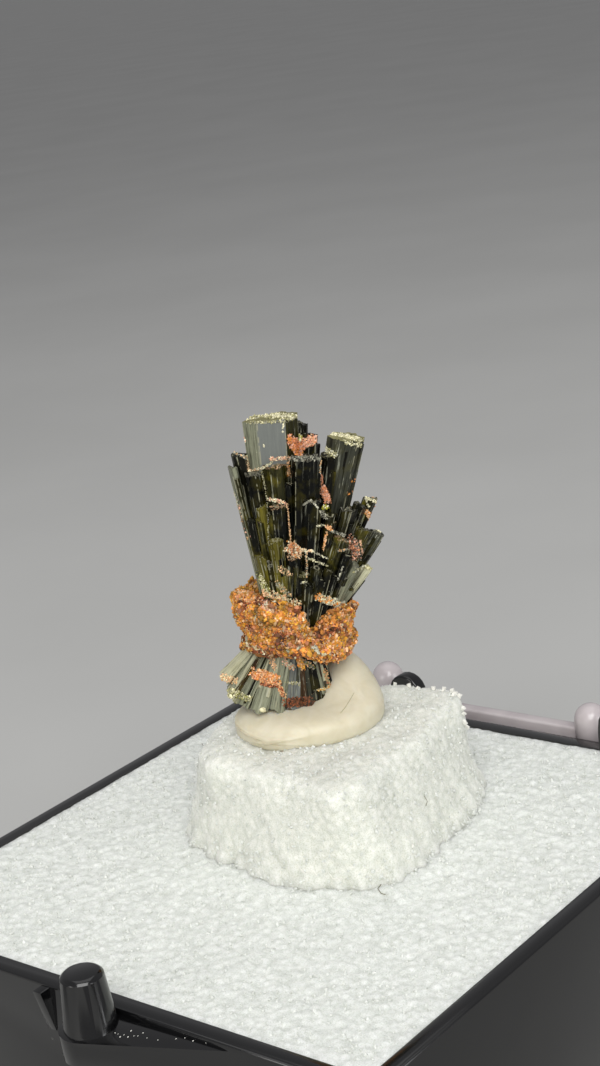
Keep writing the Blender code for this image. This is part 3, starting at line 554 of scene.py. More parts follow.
def putty_material():
    # Mineral putty, a waxy cream clay pressed by hand: satin, slightly see-through at
    # its edges, with faint smears and a few specks of dirt.
    made, tree, shader = new_material("mineral putty")
    settle(shader, IOR=1.48, Subsurface_Weight=0.3, Subsurface_Scale=0.0012)
    settle(shader, Subsurface_Radius=(1.0, 0.75, 0.45))
    place = add(tree, "ShaderNodeTexCoord").outputs["Object"]
    # Smears about 1.1 mm wide.
    smears = add(
        tree, "ShaderNodeTexNoise", values={"Scale": 900.0, "Detail": 4.0, "Distortion": 1.2},
        links={"Vector": place},
    )
    body = add(
        tree, "ShaderNodeValToRGB", links={"Fac": smears.outputs["Fac"]},
        stops=((0.3, linear("#c9c1a7")), (0.7, linear("#d4cdb7"))),
    )
    # Dirt specks of about 0.06 mm, some 1.2 mm apart.
    dirt = add(tree, "ShaderNodeTexVoronoi", values={"Scale": 850.0}, links={"Vector": place})
    speck = add(
        tree, "ShaderNodeMapRange",
        values={"From Min": 0.03, "From Max": 0.07, "To Min": 0.35, "To Max": 0.0},
        links={"Value": dirt.outputs["Distance"]},
    )
    colour = add(
        tree, "ShaderNodeMix", fields={"data_type": "RGBA"},
        values={7: linear("#8a7d62")}, links={0: speck.outputs[0], 6: body.outputs[0]},
    )
    # Painted shade darkens the folds.
    crease = add(tree, "ShaderNodeAttribute", fields={"attribute_name": "crease"})
    fold = add(
        tree, "ShaderNodeMapRange", values={"From Min": 0.55, "To Max": 0.5},
        links={"Value": crease.outputs["Fac"]},
    )
    fold_shaded = add(
        tree, "ShaderNodeMix", fields={"data_type": "RGBA"},
        values={7: linear("#9b8f72")}, links={0: fold.outputs[0], 6: colour.outputs[2]},
    )
    tree.links.new(fold_shaded.outputs[2], shader.inputs["Base Color"])
    satin = add(
        tree, "ShaderNodeMapRange", values={"To Min": 0.36, "To Max": 0.6},
        links={"Value": smears.outputs["Fac"]},
    )
    tree.links.new(satin.outputs[0], shader.inputs["Roughness"])
    # Its own fine grain, about 0.2 mm.
    fine = add(
        tree, "ShaderNodeTexNoise", values={"Scale": 5200.0, "Detail": 3.0},
        links={"Vector": place},
    )
    bump = add(
        tree, "ShaderNodeBump", values={"Strength": 0.25, "Distance": 0.00006},
        links={"Height": fine.outputs["Fac"]},
    )
    tree.links.new(bump.outputs[0], shader.inputs["Normal"])
    return made


def epidote_material():
    # Epidote: hard, glassy prisms with fine lines along them. Silver threads along the
    # lines are painted highlights, darker ones painted shade; between them the stone is black, with
    # a painted olive glow where it is thin.
    made, tree, shader = new_material("epidote")
    settle(shader, IOR=1.74, Specular_IOR_Level=0.06)
    body = add(tree, "ShaderNodeAttribute", fields={"attribute_name": "body"})
    crown = add(tree, "ShaderNodeAttribute", fields={"attribute_name": "crown"})
    marked = add(tree, "ShaderNodeAttribute", fields={"attribute_name": "marks"}).outputs["Vector"]
    marks = add(tree, "ShaderNodeSeparateXYZ", links={"Vector": marked})
    # "along" holds each prism's own millimetres, squeezed along its length.
    along = add(tree, "ShaderNodeAttribute", fields={"attribute_name": "along"}).outputs["Vector"]
    place = add(tree, "ShaderNodeTexCoord").outputs["Object"]
    # A painted olive glow, as light through thin places, in patches of about 0.9 mm.
    thin = add(
        tree, "ShaderNodeTexNoise", values={"Scale": 1100.0, "Detail": 3.0, "Roughness": 0.6},
        links={"Vector": place},
    )
    painted_glow = add(
        tree, "ShaderNodeMapRange", values={"From Min": 0.5, "From Max": 0.66, "To Max": 0.8},
        links={"Value": thin.outputs["Fac"]},
    )
    painted_glow_amount = add(
        tree, "ShaderNodeMath", fields={"operation": "MULTIPLY"},
        links={0: painted_glow.outputs[0], 1: marks.outputs["Y"]},
    )
    stone = add(
        tree, "ShaderNodeMix", fields={"data_type": "RGBA"},
        values={7: linear("#665e1a")}, links={0: painted_glow_amount.outputs[0], 6: body.outputs["Color"]},
    )
    # Threads about 0.13 mm apart: silver ones are painted highlights, deep ones painted shade.
    threads = add(
        tree, "ShaderNodeTexNoise", values={"Scale": 7.5, "Detail": 4.0, "Roughness": 0.7},
        links={"Vector": along},
    )
    thread_highlight = add(
        tree, "ShaderNodeMapRange", values={"From Min": 0.59, "From Max": 0.68, "To Max": 0.95},
        links={"Value": threads.outputs["Fac"]},
    )
    thread_highlight_amount = add(
        tree, "ShaderNodeMath", fields={"operation": "MULTIPLY"},
        links={0: thread_highlight.outputs[0], 1: body.outputs["Alpha"]},
    )
    lit = add(
        tree, "ShaderNodeMix", fields={"data_type": "RGBA"},
        values={7: linear("#a2a391")}, links={0: thread_highlight_amount.outputs[0], 6: stone.outputs[2]},
    )
    # Painted shade: the lowest threads, the grooves, are darkened.
    hollow_shade = add(
        tree, "ShaderNodeMapRange",
        values={"From Min": 0.35, "From Max": 0.52, "To Min": 0.25, "To Max": 1.0},
        links={"Value": threads.outputs["Fac"]},
    )
    banded = add(
        tree, "ShaderNodeMix", fields={"data_type": "RGBA", "blend_type": "MULTIPLY"},
        links={0: body.outputs["Alpha"], 6: lit.outputs[2], 7: hollow_shade.outputs[0]},
    )
    # Painted glints: specks of about 0.05 mm some 0.5 mm apart.
    glint_cells = add(tree, "ShaderNodeTexVoronoi", values={"Scale": 2100.0}, links={"Vector": place})
    glint = add(
        tree, "ShaderNodeMapRange",
        values={"From Min": 0.03, "From Max": 0.08, "To Min": 0.6, "To Max": 0.0},
        links={"Value": glint_cells.outputs["Distance"]},
    )
    glinting = add(
        tree, "ShaderNodeMath", fields={"operation": "MULTIPLY"},
        links={0: glint.outputs[0], 1: body.outputs["Alpha"]},
    )
    glinted = add(
        tree, "ShaderNodeMix", fields={"data_type": "RGBA"},
        values={7: linear("#a5a893")}, links={0: glinting.outputs[0], 6: banded.outputs[2]},
    )
    # Pale lines along corners and tip rims are painted highlights, in stretches of about 0.4 mm.
    chips = add(
        tree, "ShaderNodeTexNoise", values={"Scale": 2600.0, "Detail": 3.0},
        links={"Vector": place},
    )
    broken = add(
        tree, "ShaderNodeMapRange", values={"From Min": 0.3, "From Max": 0.5},
        links={"Value": chips.outputs["Fac"]},
    )
    worn = add(
        tree, "ShaderNodeMath", fields={"operation": "MULTIPLY"},
        links={0: marks.outputs["X"], 1: broken.outputs[0]},
    )
    line = add(
        tree, "ShaderNodeMapRange", values={"From Min": 0.5, "From Max": 0.85, "To Max": 0.75},
        links={"Value": worn.outputs[0]},
    )
    edge_highlit = add(
        tree, "ShaderNodeMix", fields={"data_type": "RGBA"},
        values={7: linear("#9a977e")}, links={0: line.outputs[0], 6: glinted.outputs[2]},
    )
    # The tips are broken and dusted with pale grains of about 0.1 mm.
    grit = add(
        tree, "ShaderNodeTexNoise", values={"Scale": 9000.0, "Detail": 3.0, "Roughness": 0.7},
        links={"Vector": place},
    )
    edge = add(
        tree, "ShaderNodeMath", fields={"operation": "ADD"}, values={1: -0.5},
        links={0: grit.outputs["Fac"]},
    )
    wavy = add(
        tree, "ShaderNodeMath", fields={"operation": "MULTIPLY_ADD"}, values={1: 1.6},
        links={0: edge.outputs[0], 2: crown.outputs["Alpha"]},
    )
    dusted = add(
        tree, "ShaderNodeMapRange", values={"From Min": 0.5, "From Max": 0.7},
        links={"Value": wavy.outputs[0]},
    )
    colour = add(
        tree, "ShaderNodeMix", fields={"data_type": "RGBA"},
        links={0: dusted.outputs[0], 6: edge_highlit.outputs[2], 7: crown.outputs["Color"]},
    )
    tree.links.new(colour.outputs[2], shader.inputs["Base Color"])
    gloss = add(
        tree, "ShaderNodeMapRange",
        values={"From Min": 0.3, "From Max": 0.75, "To Min": 0.07, "To Max": 0.24},
        links={"Value": threads.outputs["Fac"]},
    )
    dull = add(
        tree, "ShaderNodeMapRange", values={"To Min": 0.0, "To Max": 0.7},
        links={"Value": dusted.outputs[0]},
    )
    rough = add(
        tree, "ShaderNodeMath", fields={"operation": "MAXIMUM"},
        links={0: gloss.outputs[0], 1: dull.outputs[0]},
    )
    tree.links.new(rough.outputs[0], shader.inputs["Roughness"])
    lines = add(
        tree, "ShaderNodeBump", values={"Strength": 0.55, "Distance": 0.00004},
        links={"Height": threads.outputs["Fac"]},
    )
    gritty = add(
        tree, "ShaderNodeMath", fields={"operation": "MULTIPLY"},
        links={0: grit.outputs["Fac"], 1: dusted.outputs[0]},
    )
    bump = add(
        tree, "ShaderNodeBump", values={"Strength": 0.7, "Distance": 0.00006},
        links={"Height": gritty.outputs[0], "Normal": lines.outputs[0]},
    )
    tree.links.new(bump.outputs[0], shader.inputs["Normal"])
    return made


def crust_material():
    # Limonite, earthy iron oxide with a few clear grains of calcite: dull and powdery,
    # each grain a little different, with painted shade in the pits between its knobs.
    made, tree, shader = new_material("limonite crust")
    settle(shader, IOR=1.6, Specular_IOR_Level=0.35)
    body = add(tree, "ShaderNodeAttribute", fields={"attribute_name": "body"})
    place = add(tree, "ShaderNodeTexCoord").outputs["Object"]
    # Powder of about 0.06 mm.
    powder = add(
        tree, "ShaderNodeTexNoise", values={"Scale": 16000.0, "Detail": 3.0, "Roughness": 0.7},
        links={"Vector": place},
    )
    shade = add(
        tree, "ShaderNodeMapRange",
        values={"From Min": 0.3, "From Max": 0.7, "To Min": 0.6, "To Max": 1.15},
        links={"Value": powder.outputs["Fac"]},
    )
    colour = add(
        tree, "ShaderNodeMix", fields={"data_type": "RGBA", "blend_type": "MULTIPLY"},
        values={0: 1.0}, links={6: body.outputs["Color"], 7: shade.outputs[0]},
    )
    tree.links.new(colour.outputs[2], shader.inputs["Base Color"])
    dull = add(
        tree, "ShaderNodeMapRange", values={"To Min": 0.5, "To Max": 0.9},
        links={"Value": powder.outputs["Fac"]},
    )
    tree.links.new(dull.outputs[0], shader.inputs["Roughness"])
    bump = add(
        tree, "ShaderNodeBump", values={"Strength": 0.6, "Distance": 0.00004},
        links={"Height": powder.outputs["Fac"]},
    )
    tree.links.new(bump.outputs[0], shader.inputs["Normal"])
    return made


def lint_material():
    # Lint, short textile hairs and dust, a little uneven and dull.
    made, tree, shader = new_material("lint")
    settle(shader, Roughness=0.9)
    body = add(tree, "ShaderNodeAttribute", fields={"attribute_name": "body"})
    place = add(tree, "ShaderNodeTexCoord").outputs["Object"]
    # The twist of the fibres, about 0.17 mm.
    twist = add(tree, "ShaderNodeTexNoise", values={"Scale": 6000.0}, links={"Vector": place})
    shade = add(
        tree, "ShaderNodeMapRange", values={"To Min": 0.6, "To Max": 1.1},
        links={"Value": twist.outputs["Fac"]},
    )
    colour = add(
        tree, "ShaderNodeMix", fields={"data_type": "RGBA", "blend_type": "MULTIPLY"},
        values={0: 1.0}, links={6: body.outputs["Color"], 7: shade.outputs[0]},
    )
    tree.links.new(colour.outputs[2], shader.inputs["Base Color"])
    return made


def paper_material():
    # Matt photographer's paper, pale grey, with a faint fibre cloud.
    made, tree, shader = new_material("matt paper")
    settle(shader, Roughness=0.9, Specular_IOR_Level=0.2)
    place = add(tree, "ShaderNodeTexCoord").outputs["Object"]
    # Clouds about 33 mm wide.
    cloud = add(
        tree, "ShaderNodeTexNoise", values={"Scale": 30.0, "Detail": 4.0},
        links={"Vector": place},
    )
    tint = add(
        tree, "ShaderNodeValToRGB", links={"Fac": cloud.outputs["Fac"]},
        stops=((0.35, linear("#b9b9b7")), (0.65, linear("#bdbdbb"))),
    )
    tree.links.new(tint.outputs[0], shader.inputs["Base Color"])
    return made


def finish(bm, name, surface, nodes=(), flat=False):
    """Turns a bmesh in millimetres into a piece in metres that rides on the base."""
    bmesh.ops.scale(bm, vec=(MM, MM, MM), verts=bm.verts)
    bmesh.ops.recalc_face_normals(bm, faces=bm.faces)
    mesh = bpy.data.meshes.new(name)
    bm.to_mesh(mesh)
    bm.free()
    if not flat:
        mesh.shade_smooth()
        mesh.set_sharp_from_angle(angle=math.radians(42))
    mesh.materials.append(surface)
    made = bpy.data.objects.new(name, mesh)
    bpy.context.scene.collection.objects.link(made)
    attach(made, "root")
    if nodes:
        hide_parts(*nodes)
    return made


def remeshed(source, voxel):
    """A copy of a CAD node in even small faces, as a bmesh in millimetres."""
    copy = bpy.data.objects.new("copy", source.data.copy())
    bpy.context.scene.collection.objects.link(copy)
    weld = copy.modifiers.new("weld", "WELD")
    weld.merge_threshold = 0.000001
    remesh = copy.modifiers.new("remesh", "REMESH")
    remesh.mode = "VOXEL"
    remesh.voxel_size = voxel * MM
    graph = bpy.context.evaluated_depsgraph_get()
    mesh = bpy.data.meshes.new_from_object(copy.evaluated_get(graph))
    bm = bmesh.new()
    bm.from_mesh(mesh)
    bpy.data.objects.remove(copy)
    bpy.data.meshes.remove(mesh)
    bmesh.ops.scale(bm, vec=(1 / MM, 1 / MM, 1 / MM), verts=bm.verts)
    return bm


def crumble(place):
    """How far torn bead foam stands out, in mm: crumbs, each of its own height."""
    distances, centres = noise.voronoi(place / CRUMB)
    step = noise.noise(centres[0] * 5.3)
    slow = noise.noise(place / FOAM_SWELL[0])
    return CRUMB_DOME * (0.45 - distances[0]) + CRUMB_STEP * step + FOAM_SWELL[1] * slow


def foam_pad(foam):
    """The sheet that fills the base, with a crumbly top and cut edges."""
    half = HALF - WALL - PAD_GAP
    bm = bmesh.new()
    bmesh.ops.create_grid(bm, x_segments=PAD_FACES, y_segments=PAD_FACES, size=half)
    for vert in bm.verts:
        rim = min(half - abs(vert.co.x), half - abs(vert.co.y))
        edge = min(1.0, rim / PAD_ROLL[0])
        level = BASE_HEIGHT - PAD_BELOW - PAD_ROLL[1] * (1 - edge) ** 2
        vert.co.z = level + crumble(vert.co) * (0.4 + 0.6 * edge)
    border = [edge for edge in bm.edges if edge.is_boundary]
    sides = bmesh.ops.extrude_edge_only(bm, edges=border)["geom"]
    for item in sides:
        if isinstance(item, bmesh.types.BMVert):
            item.co.z = FLOOR + 0.02
    low = [e for e in bm.edges if e.is_boundary]
    bmesh.ops.contextual_create(bm, geom=low)
    made = finish(bm, "foam_sheet", foam, ["foam_pad"])
    return made


def foam_block(foam, source):
    """The torn piece: its edges are worn round, and its foot runs out in crumbs."""
    bm = remeshed(source, BLOCK_VOXEL)
    unworn = [vert.co.copy() for vert in bm.verts]
    for _ in range(BLOCK_WEAR):
        bmesh.ops.smooth_vert(
            bm, verts=bm.verts, factor=0.5, use_axis_x=True, use_axis_y=True, use_axis_z=True,
        )
    line = sight_line(*SHARP_CORNER[:2])
    corner = EYE + line * ((BLOCK_TOP - EYE.z) / line.z)
    for vert, was in zip(bm.verts, unworn):
        keep = 0.8 * math.exp(-((was - corner).length / SHARP_CORNER[2]) ** 2)
        vert.co = vert.co.lerp(was, keep)
    low = min(vert.co.z for vert in bm.verts)
    bm.normal_update()
    moves = []
    for vert in bm.verts:
        if vert.normal.z < -0.8:
            moves.append(Vector((0, 0, BASE_HEIGHT - BLOCK_BELOW - vert.co.z)))
            continue
        lump = noise.noise(vert.co / BLOCK_LUMPS[0] + UP * 9)
        move = vert.normal * (crumble(vert.co) * 0.9 + BLOCK_LUMPS[1] * lump)
        # The foot spreads a little over the pad, unevenly.
        height = vert.co.z - low
        skirt = BLOCK_SKIRT[0] * math.exp(-height / BLOCK_SKIRT[1])
        skirt *= 0.7 + 0.6 * noise.noise(vert.co / 0.8)
        out = (vert.co - BLOCK_MIDDLE).xy.normalized() * skirt
        sink = BLOCK_SINK[0] * max(0.0, 1.0 - height / BLOCK_SINK[1]) ** 2
        moves.append(move + Vector((out.x, out.y, -sink)))
    for vert, move in zip(bm.verts, moves):
        vert.co += move
    made = finish(bm, "foam_stand", foam, ["foam_block"])
    return made


def foam_crumbs(foam, sheet, stand, shapes):
    """Loose bits of bead that lie on the pad and the block, thickest round its foot."""
    draw = random.Random(SEEDS["crumbs"])
    bm = bmesh.new()
    bm.verts.layers.float_color.new("body")
    places = []
    for made, count in zip((sheet, stand), LOOSE_CRUMBS):
        shown = [
            face for face in made.data.polygons
            if face.normal.z > -0.2 and face.center.z > (BASE_HEIGHT - 0.4) * MM
        ]
        low = FOOT_TOP * MM if made is stand else 0.0
        shares = [face.area * (2 if face.center.z < low else 1) for face in shown]
        for face in draw.choices(shown, weights=shares, k=count):
            if max(abs(face.center.x), abs(face.center.y)) < (HALF - WALL - 0.4) * MM:
                where = face.center / MM + face.normal * 0.02
                places.append((where, draw.uniform(*LOOSE_SIZES), (1.0, 1.0, 1.0, 1.0)))
    add_grains(bm, places, shapes, draw)
    return finish(bm, "foam_crumbs", foam, flat=True)


def putty_height(u, d):
    """How high the putty reaches: a lip all round, and a hump behind the specimen."""
    hump = math.exp(-(((u - HUMP[0]) / HUMP[2]) ** 2 + ((d - HUMP[1]) / HUMP[3]) ** 2))
    return PUTTY_LIP + PUTTY_RISE * hump


def putty_blob(cream):
    """The pressed blob, with finger dents and a few folds low at its left front."""
    bottom = BLOCK_TOP - PUTTY_PRESSED
    bm = bmesh.new()
    bmesh.ops.create_uvsphere(bm, u_segments=256, v_segments=128, radius=1.0)
    creases = bm.verts.layers.float.new("crease")
    for vert in bm.verts:
        turn = math.atan2(vert.co.y, vert.co.x) % (2 * math.pi)
        for towards, wide, share, climb in FOLDS:
            aside = (turn - towards) / wide
            above = vert.co.z - (share * 2.0 - 1.0 + climb * aside)
            if above > -0.25:
                depth = math.exp(-((above / FOLD_WIDTHS[above >= 0]) ** 2) - aside**2)
                vert[creases] = max(vert[creases], depth)
        radius = math.hypot(vert.co.x, vert.co.y)
        spread = radius**PUTTY_SQUARENESS / max(radius, 0.001)
        rise = math.copysign(abs(vert.co.z) ** PUTTY_SQUARENESS, vert.co.z)
        u = PUTTY_CENTRE[0] + PUTTY_RADII[0] * vert.co.x * spread
        d = PUTTY_CENTRE[1] + PUTTY_RADII[1] * vert.co.y * spread
        level = max(0.0, (rise + PUTTY_WIDEST) / (1.0 + PUTTY_WIDEST))
        place = Vector((WAIST.x, WAIST.y, 0)) + ACROSS * u + OUTWARD * d
        height = putty_height(u, d) + 2 * PUTTY_PRESSED
        vert.co = (place.x, place.y, bottom + height * level)
    bmesh.ops.remove_doubles(bm, verts=bm.verts, dist=0.001)
    bm.normal_update()
    for vert in bm.verts:
        dent = PUTTY_DENTS[1] * noise.noise(vert.co / PUTTY_DENTS[0])
        vert.co += vert.normal * (dent - FOLD_DEPTH * vert[creases])
    return finish(bm, "putty_blob", cream, ["mineral_putty"])


def moulded_base(black, source):
    """The box base of the solids, with the small round edges that a moulding has."""
    bm = bmesh.new()
    bm.from_mesh(source.data)
    bmesh.ops.scale(bm, vec=(1 / MM, 1 / MM, 1 / MM), verts=bm.verts)
    bmesh.ops.remove_doubles(bm, verts=bm.verts, dist=0.0005)
    bmesh.ops.dissolve_limit(bm, angle_limit=math.radians(1), verts=bm.verts, edges=bm.edges)
    for lowest, offset, segments in ((BASE_HEIGHT + 1.2, 0.3, 5), (0.0, 0.07, 2)):
        sharp = [
            edge for edge in bm.edges
            if edge.is_manifold and edge.calc_face_angle() > math.radians(40)
            and min(vert.co.z for vert in edge.verts) > lowest
        ]
        bmesh.ops.bevel(
            bm, geom=sharp, offset=offset, segments=segments, profile=0.5, affect="EDGES",
            material=-1, clamp_overlap=True,
        )
    return finish(bm, "moulded_base", black, ["box_base"])


def hinge_rail(clear):
    """The hinge's clear bar, on its ledge, with a round-topped knob near each end."""
    bm = bmesh.new()
    bmesh.ops.create_cube(bm, size=1.0)
    low = LEDGE_TOP + 0.01
    bmesh.ops.scale(bm, vec=(RAIL_WIDE, RAIL_Y[1] - RAIL_Y[0], RAIL_TOP - low), verts=bm.verts)
    bmesh.ops.translate(bm, vec=(RAIL_X, sum(RAIL_Y) / 2, (RAIL_TOP + low) / 2), verts=bm.verts)
    bmesh.ops.bevel(
        bm, geom=bm.edges[:], offset=0.13, segments=3, profile=0.5, affect="EDGES", material=-1,
    )
    for y, highest in KNOBS:
        top = highest - KNOB_RADIUS
        # Half its outline: the foot with a small chamfer, then the round top.
        half = [(0.0, low), (KNOB_RADIUS * 0.94, low), (KNOB_RADIUS, low + 0.08)]
        for step in range(9):
            turn = math.pi / 2 * step / 8
            half.append((KNOB_RADIUS * math.cos(turn), top + KNOB_RADIUS * math.sin(turn)))
        outline = [bm.verts.new((RAIL_X + reach, y, height)) for reach, height in half]
        edges = [bm.edges.new(pair) for pair in zip(outline, outline[1:])]
        bmesh.ops.spin(
            bm, geom=outline + edges, cent=(RAIL_X, y, 0), axis=(0, 0, 1), angle=2 * math.pi,
            steps=40, use_merge=True,
        )
    bmesh.ops.remove_doubles(bm, verts=bm.verts, dist=0.0005)
    return finish(bm, "hinge_bar", clear, ["hinge_rail"])


def crystal(into, prism, turn, slope, seed, ridge=0.04, pitch=0.1, ragged=0.18, window=False):
    """Adds one striated prism, foot to tip, wider at the tip, its end cut aslant and rough."""
    tip, foot, width, thickness, body, crown, reach_down = prism
    draw = random.Random(seed)
    per_side = max(2, round(width * 0.5 / pitch))
    bm = bmesh.new()
    along_layer = bm.verts.layers.float_vector.new("along")
    body_layer = bm.verts.layers.float_color.new("body")
    crown_layer = bm.verts.layers.float_color.new("crown")
    marks_layer = bm.verts.layers.float_vector.new("marks")
    bmesh.ops.create_circle(bm, cap_ends=True, segments=6 * per_side, radius=1.0)
    for vert in bm.verts:
        angle = math.atan2(vert.co.y, vert.co.x)
        corner = (math.degrees(angle) - 90.0) % 60.0 - 30.0
        reach = 0.5 * math.cos(math.radians(30)) / math.cos(math.radians(corner))
        vert.co = (reach * math.cos(angle), reach * math.sin(angle), 0.0)
    base = in_specimen(*foot)
    top = in_specimen(*tip)
    length = (top - base).length
    ridges = {}
    worn = {}
    level = bm.faces[:]
    for vert in bm.verts:
        degrees = round(math.degrees(math.atan2(vert.co.y, vert.co.x)))
        ridges[degrees] = draw.uniform(-ridge, ridge)
        is_corner = (degrees - 90) % 60 == 0
        # How strongly each corner carries the painted edge highlight; the window's carry it fully.
        worn[degrees] = (1.0 if window else draw.choice((0.2, 0.6, 0.9))) if is_corner else 0.0
    for share in sorted((*PRISM_RINGS, 1.0 - reach_down / length)):
        raised = bmesh.ops.extrude_face_region(bm, geom=level)["geom"]
        level = [item for item in raised if isinstance(item, bmesh.types.BMFace)]
        for item in raised:
            if isinstance(item, bmesh.types.BMVert):
                item.co.z = share
    # The tip's own face gets a rough middle.
    rim = {vert for face in level for vert in face.verts}
    for _ in range(2):
        bmesh.ops.inset_region(bm, faces=level, thickness=0.12, depth=0.0, use_even_offset=False)
    centre = bmesh.ops.poke(bm, faces=level)["verts"]
    top_verts = {v for v in bm.verts if v.co.z > 0.9999} | set(centre)
    along = (top - base).normalized()
    side = (AXIS_U - along * AXIS_U.dot(along)).normalized()
    front = side.cross(along)
    spin = Matrix.Rotation(turn, 3, along)
    side = spin @ side
    front = spin @ front
    offset = Vector((draw.uniform(0, 50), draw.uniform(0, 50), draw.uniform(0, 50)))
    body_colour = Vector(linear(TONES[body])[:3]) * draw.uniform(0.7, 1.2)
    crown_colour = Vector(linear(TONES[crown])[:3]) * draw.uniform(0.5, 0.7)
    broad = 1.7 < width < 3.0
    covered = 1.0 if broad else draw.uniform(*CROWN_COVER)
    ragged *= 0.35 if broad else 1.0
    for vert in bm.verts:
        x, y, share = vert.co
        size = PRISM_TAPER + (1.0 - PRISM_TAPER) * share
        angle = math.atan2(y, x)
        degrees = round(math.degrees(angle))
        out = Vector((math.cos(angle), math.sin(angle)))
        wander = noise.noise(Vector((x * 6, y * 6, share * length * 0.5)) + offset)
        lift = (ridges.get(degrees, 0.0) + ridge * wander) * (math.hypot(x, y) > SIDES_FROM)
        smooth = window and out.x > 0.5 and abs(y) < WINDOW_HALF
        if smooth:
            lift *= 0.1
        local_x = x * thickness * size / FLATS + out.x * lift
        local_y = y * width * size + out.y * lift
        rise = share * length
        if vert in top_verts:
            # The tip is broken in steps, finer and coarser.
            spot = Vector((local_x, local_y, 0))
            step = noise.noise(noise.voronoi(spot * 3.5 + offset)[1][0] * 3.1)
            rise += y * slope + ragged * (step + 0.5 * noise.noise(spot * 5 + offset))
        vert[along_layer] = Vector((local_x, local_y, rise * THREAD_SQUEEZE)) + offset
        colour = body_colour
        # The window's smooth front face is painted slate, a painted reflection, and its left side
        # face sage, a painted light on that side.
        if smooth:
            colour = Vector(linear(TONES["slate"])[:3])
        elif window and y < -WINDOW_HALF:
            colour = Vector(linear(TONES["sage"])[:3])
        # Its alpha: how strongly the painted thread highlights, groove shade and glints show.
        vert[body_layer] = (*colour, 0.1 if smooth else PAINTED_THREADS.get(body, 1.0))
        vert[crown_layer] = (*crown_colour, covered if vert in top_verts else 0.0)
        # The tip's rim and some corners carry the painted edge highlight.
        edge_highlight = 1.0 if vert in rim else worn.get(degrees, 0.0) * (math.hypot(x, y) > SIDES_FROM)
        # The second mark: how strongly the painted olive glow shows.
        vert[marks_layer] = (edge_highlight, 0.0 if window else PAINTED_GLOW.get(body, 0.2), 0.0)
        vert.co = base + along * rise + front * local_x + side * local_y
    mesh = bpy.data.meshes.new("prism")
    bm.to_mesh(mesh)
    bm.free()
    into.from_mesh(mesh)
    bpy.data.meshes.remove(mesh)


def back_prisms():
    """Prisms of the far side, spread in rows by the same seeded draw as the solids."""
    draw = random.Random(SEEDS["back"])
    tone = random.Random(SEEDS["back tones"])
    for count, height, depth, spread in BACK_ROWS:
        for i in range(count):
            share = (i + 0.5) / count * 2 - 1
            u = 0.2 + spread * share + draw.uniform(-0.15, 0.15)
            w = height - 1.6 * share * share + draw.uniform(-0.5, 0.5)
            d = depth + draw.uniform(-0.2, 0.2) + 0.5 * share * share
            foot = (u * 0.34, draw.uniform(-0.2, 0.4), max(d * 0.5, -1.05))
            size = draw.uniform(0.8, 1.15), draw.uniform(0.8, 1.0)
            yield (u, w, d), foot, *size, tone.choice(BACK_TONES), tone.choice(CROWN_TONES), 0.12
    for i in range(FAN_BACK_COUNT):
        share = (i + 0.5) / FAN_BACK_COUNT * 2 - 1
        u = -0.95 + 2.55 * share
        d = -1.2 + 0.7 * share * share + draw.uniform(-0.1, 0.1)
        w = -3.9 + 0.25 * share * share
        body = tone.choice(("sage", "grey", "pale"))
        yield (u, w, d), (u * 0.3, 0.3, d * 0.4), 0.95, 0.95, body, "ash", 0.2


def splinters(prism, draw, count, down):
    """Thin prisms grown against a large one, each with its own lower tip."""
    tip, foot, width, thickness, body, _, _ = prism
    for _ in range(count):
        angle = draw.uniform(-1.9, 1.9) if foot[2] > -0.5 else draw.uniform(1.2, 5.1)
        share = draw.uniform(0.5, 0.97)
        size = draw.uniform(0.16, 0.4)
        out = (math.sin(angle) * width * 0.46, math.cos(angle) * thickness * 0.46)
        end = [f + (t - f) * share for t, f in zip(tip, foot)]
        end = (end[0] + out[0] * share, end[1], end[2] + out[1] * share)
        start = (foot[0] + out[0] * 0.6, foot[1], foot[2] + out[1] * 0.6)
        tone = draw.choice(FAN_TONES if down else (body, "coal", "moss", "black"))
        yield end, start, size, size * draw.uniform(0.8, 1.2), tone, draw.choice(CROWN_TONES), 0.07


def fillers(prisms, draw):
    """Prisms that fill the room between each prism and its nearest neighbours."""
    for prism in prisms:
        tip, foot = Vector(prism[0]), Vector(prism[1])

        def distance(other):
            away = Vector(other[0]) - tip
            return math.hypot(away.x, away.z) + 0.2 * abs(away.y)

        for other in sorted(prisms, key=distance)[1:5]:
            share = draw.uniform(0.35, 0.65)
            end = tip.lerp(Vector(other[0]), share)
            start = foot.lerp(Vector(other[1]), share)
            height = min(tip.y, other[0][1], key=abs) * draw.uniform(0.55, 0.97)
            end = start + (end - start) * ((height - start.y) / (end.y - start.y))
            size = draw.uniform(0.35, 0.75) * (0.7 if height < 0 else 1.0)
            tone = draw.choice(FAN_TONES if height < 0 else ("black", "coal", "moss", prism[4]))
            yield tuple(end), tuple(start), size, size, tone, draw.choice(CROWN_TONES), 0.08


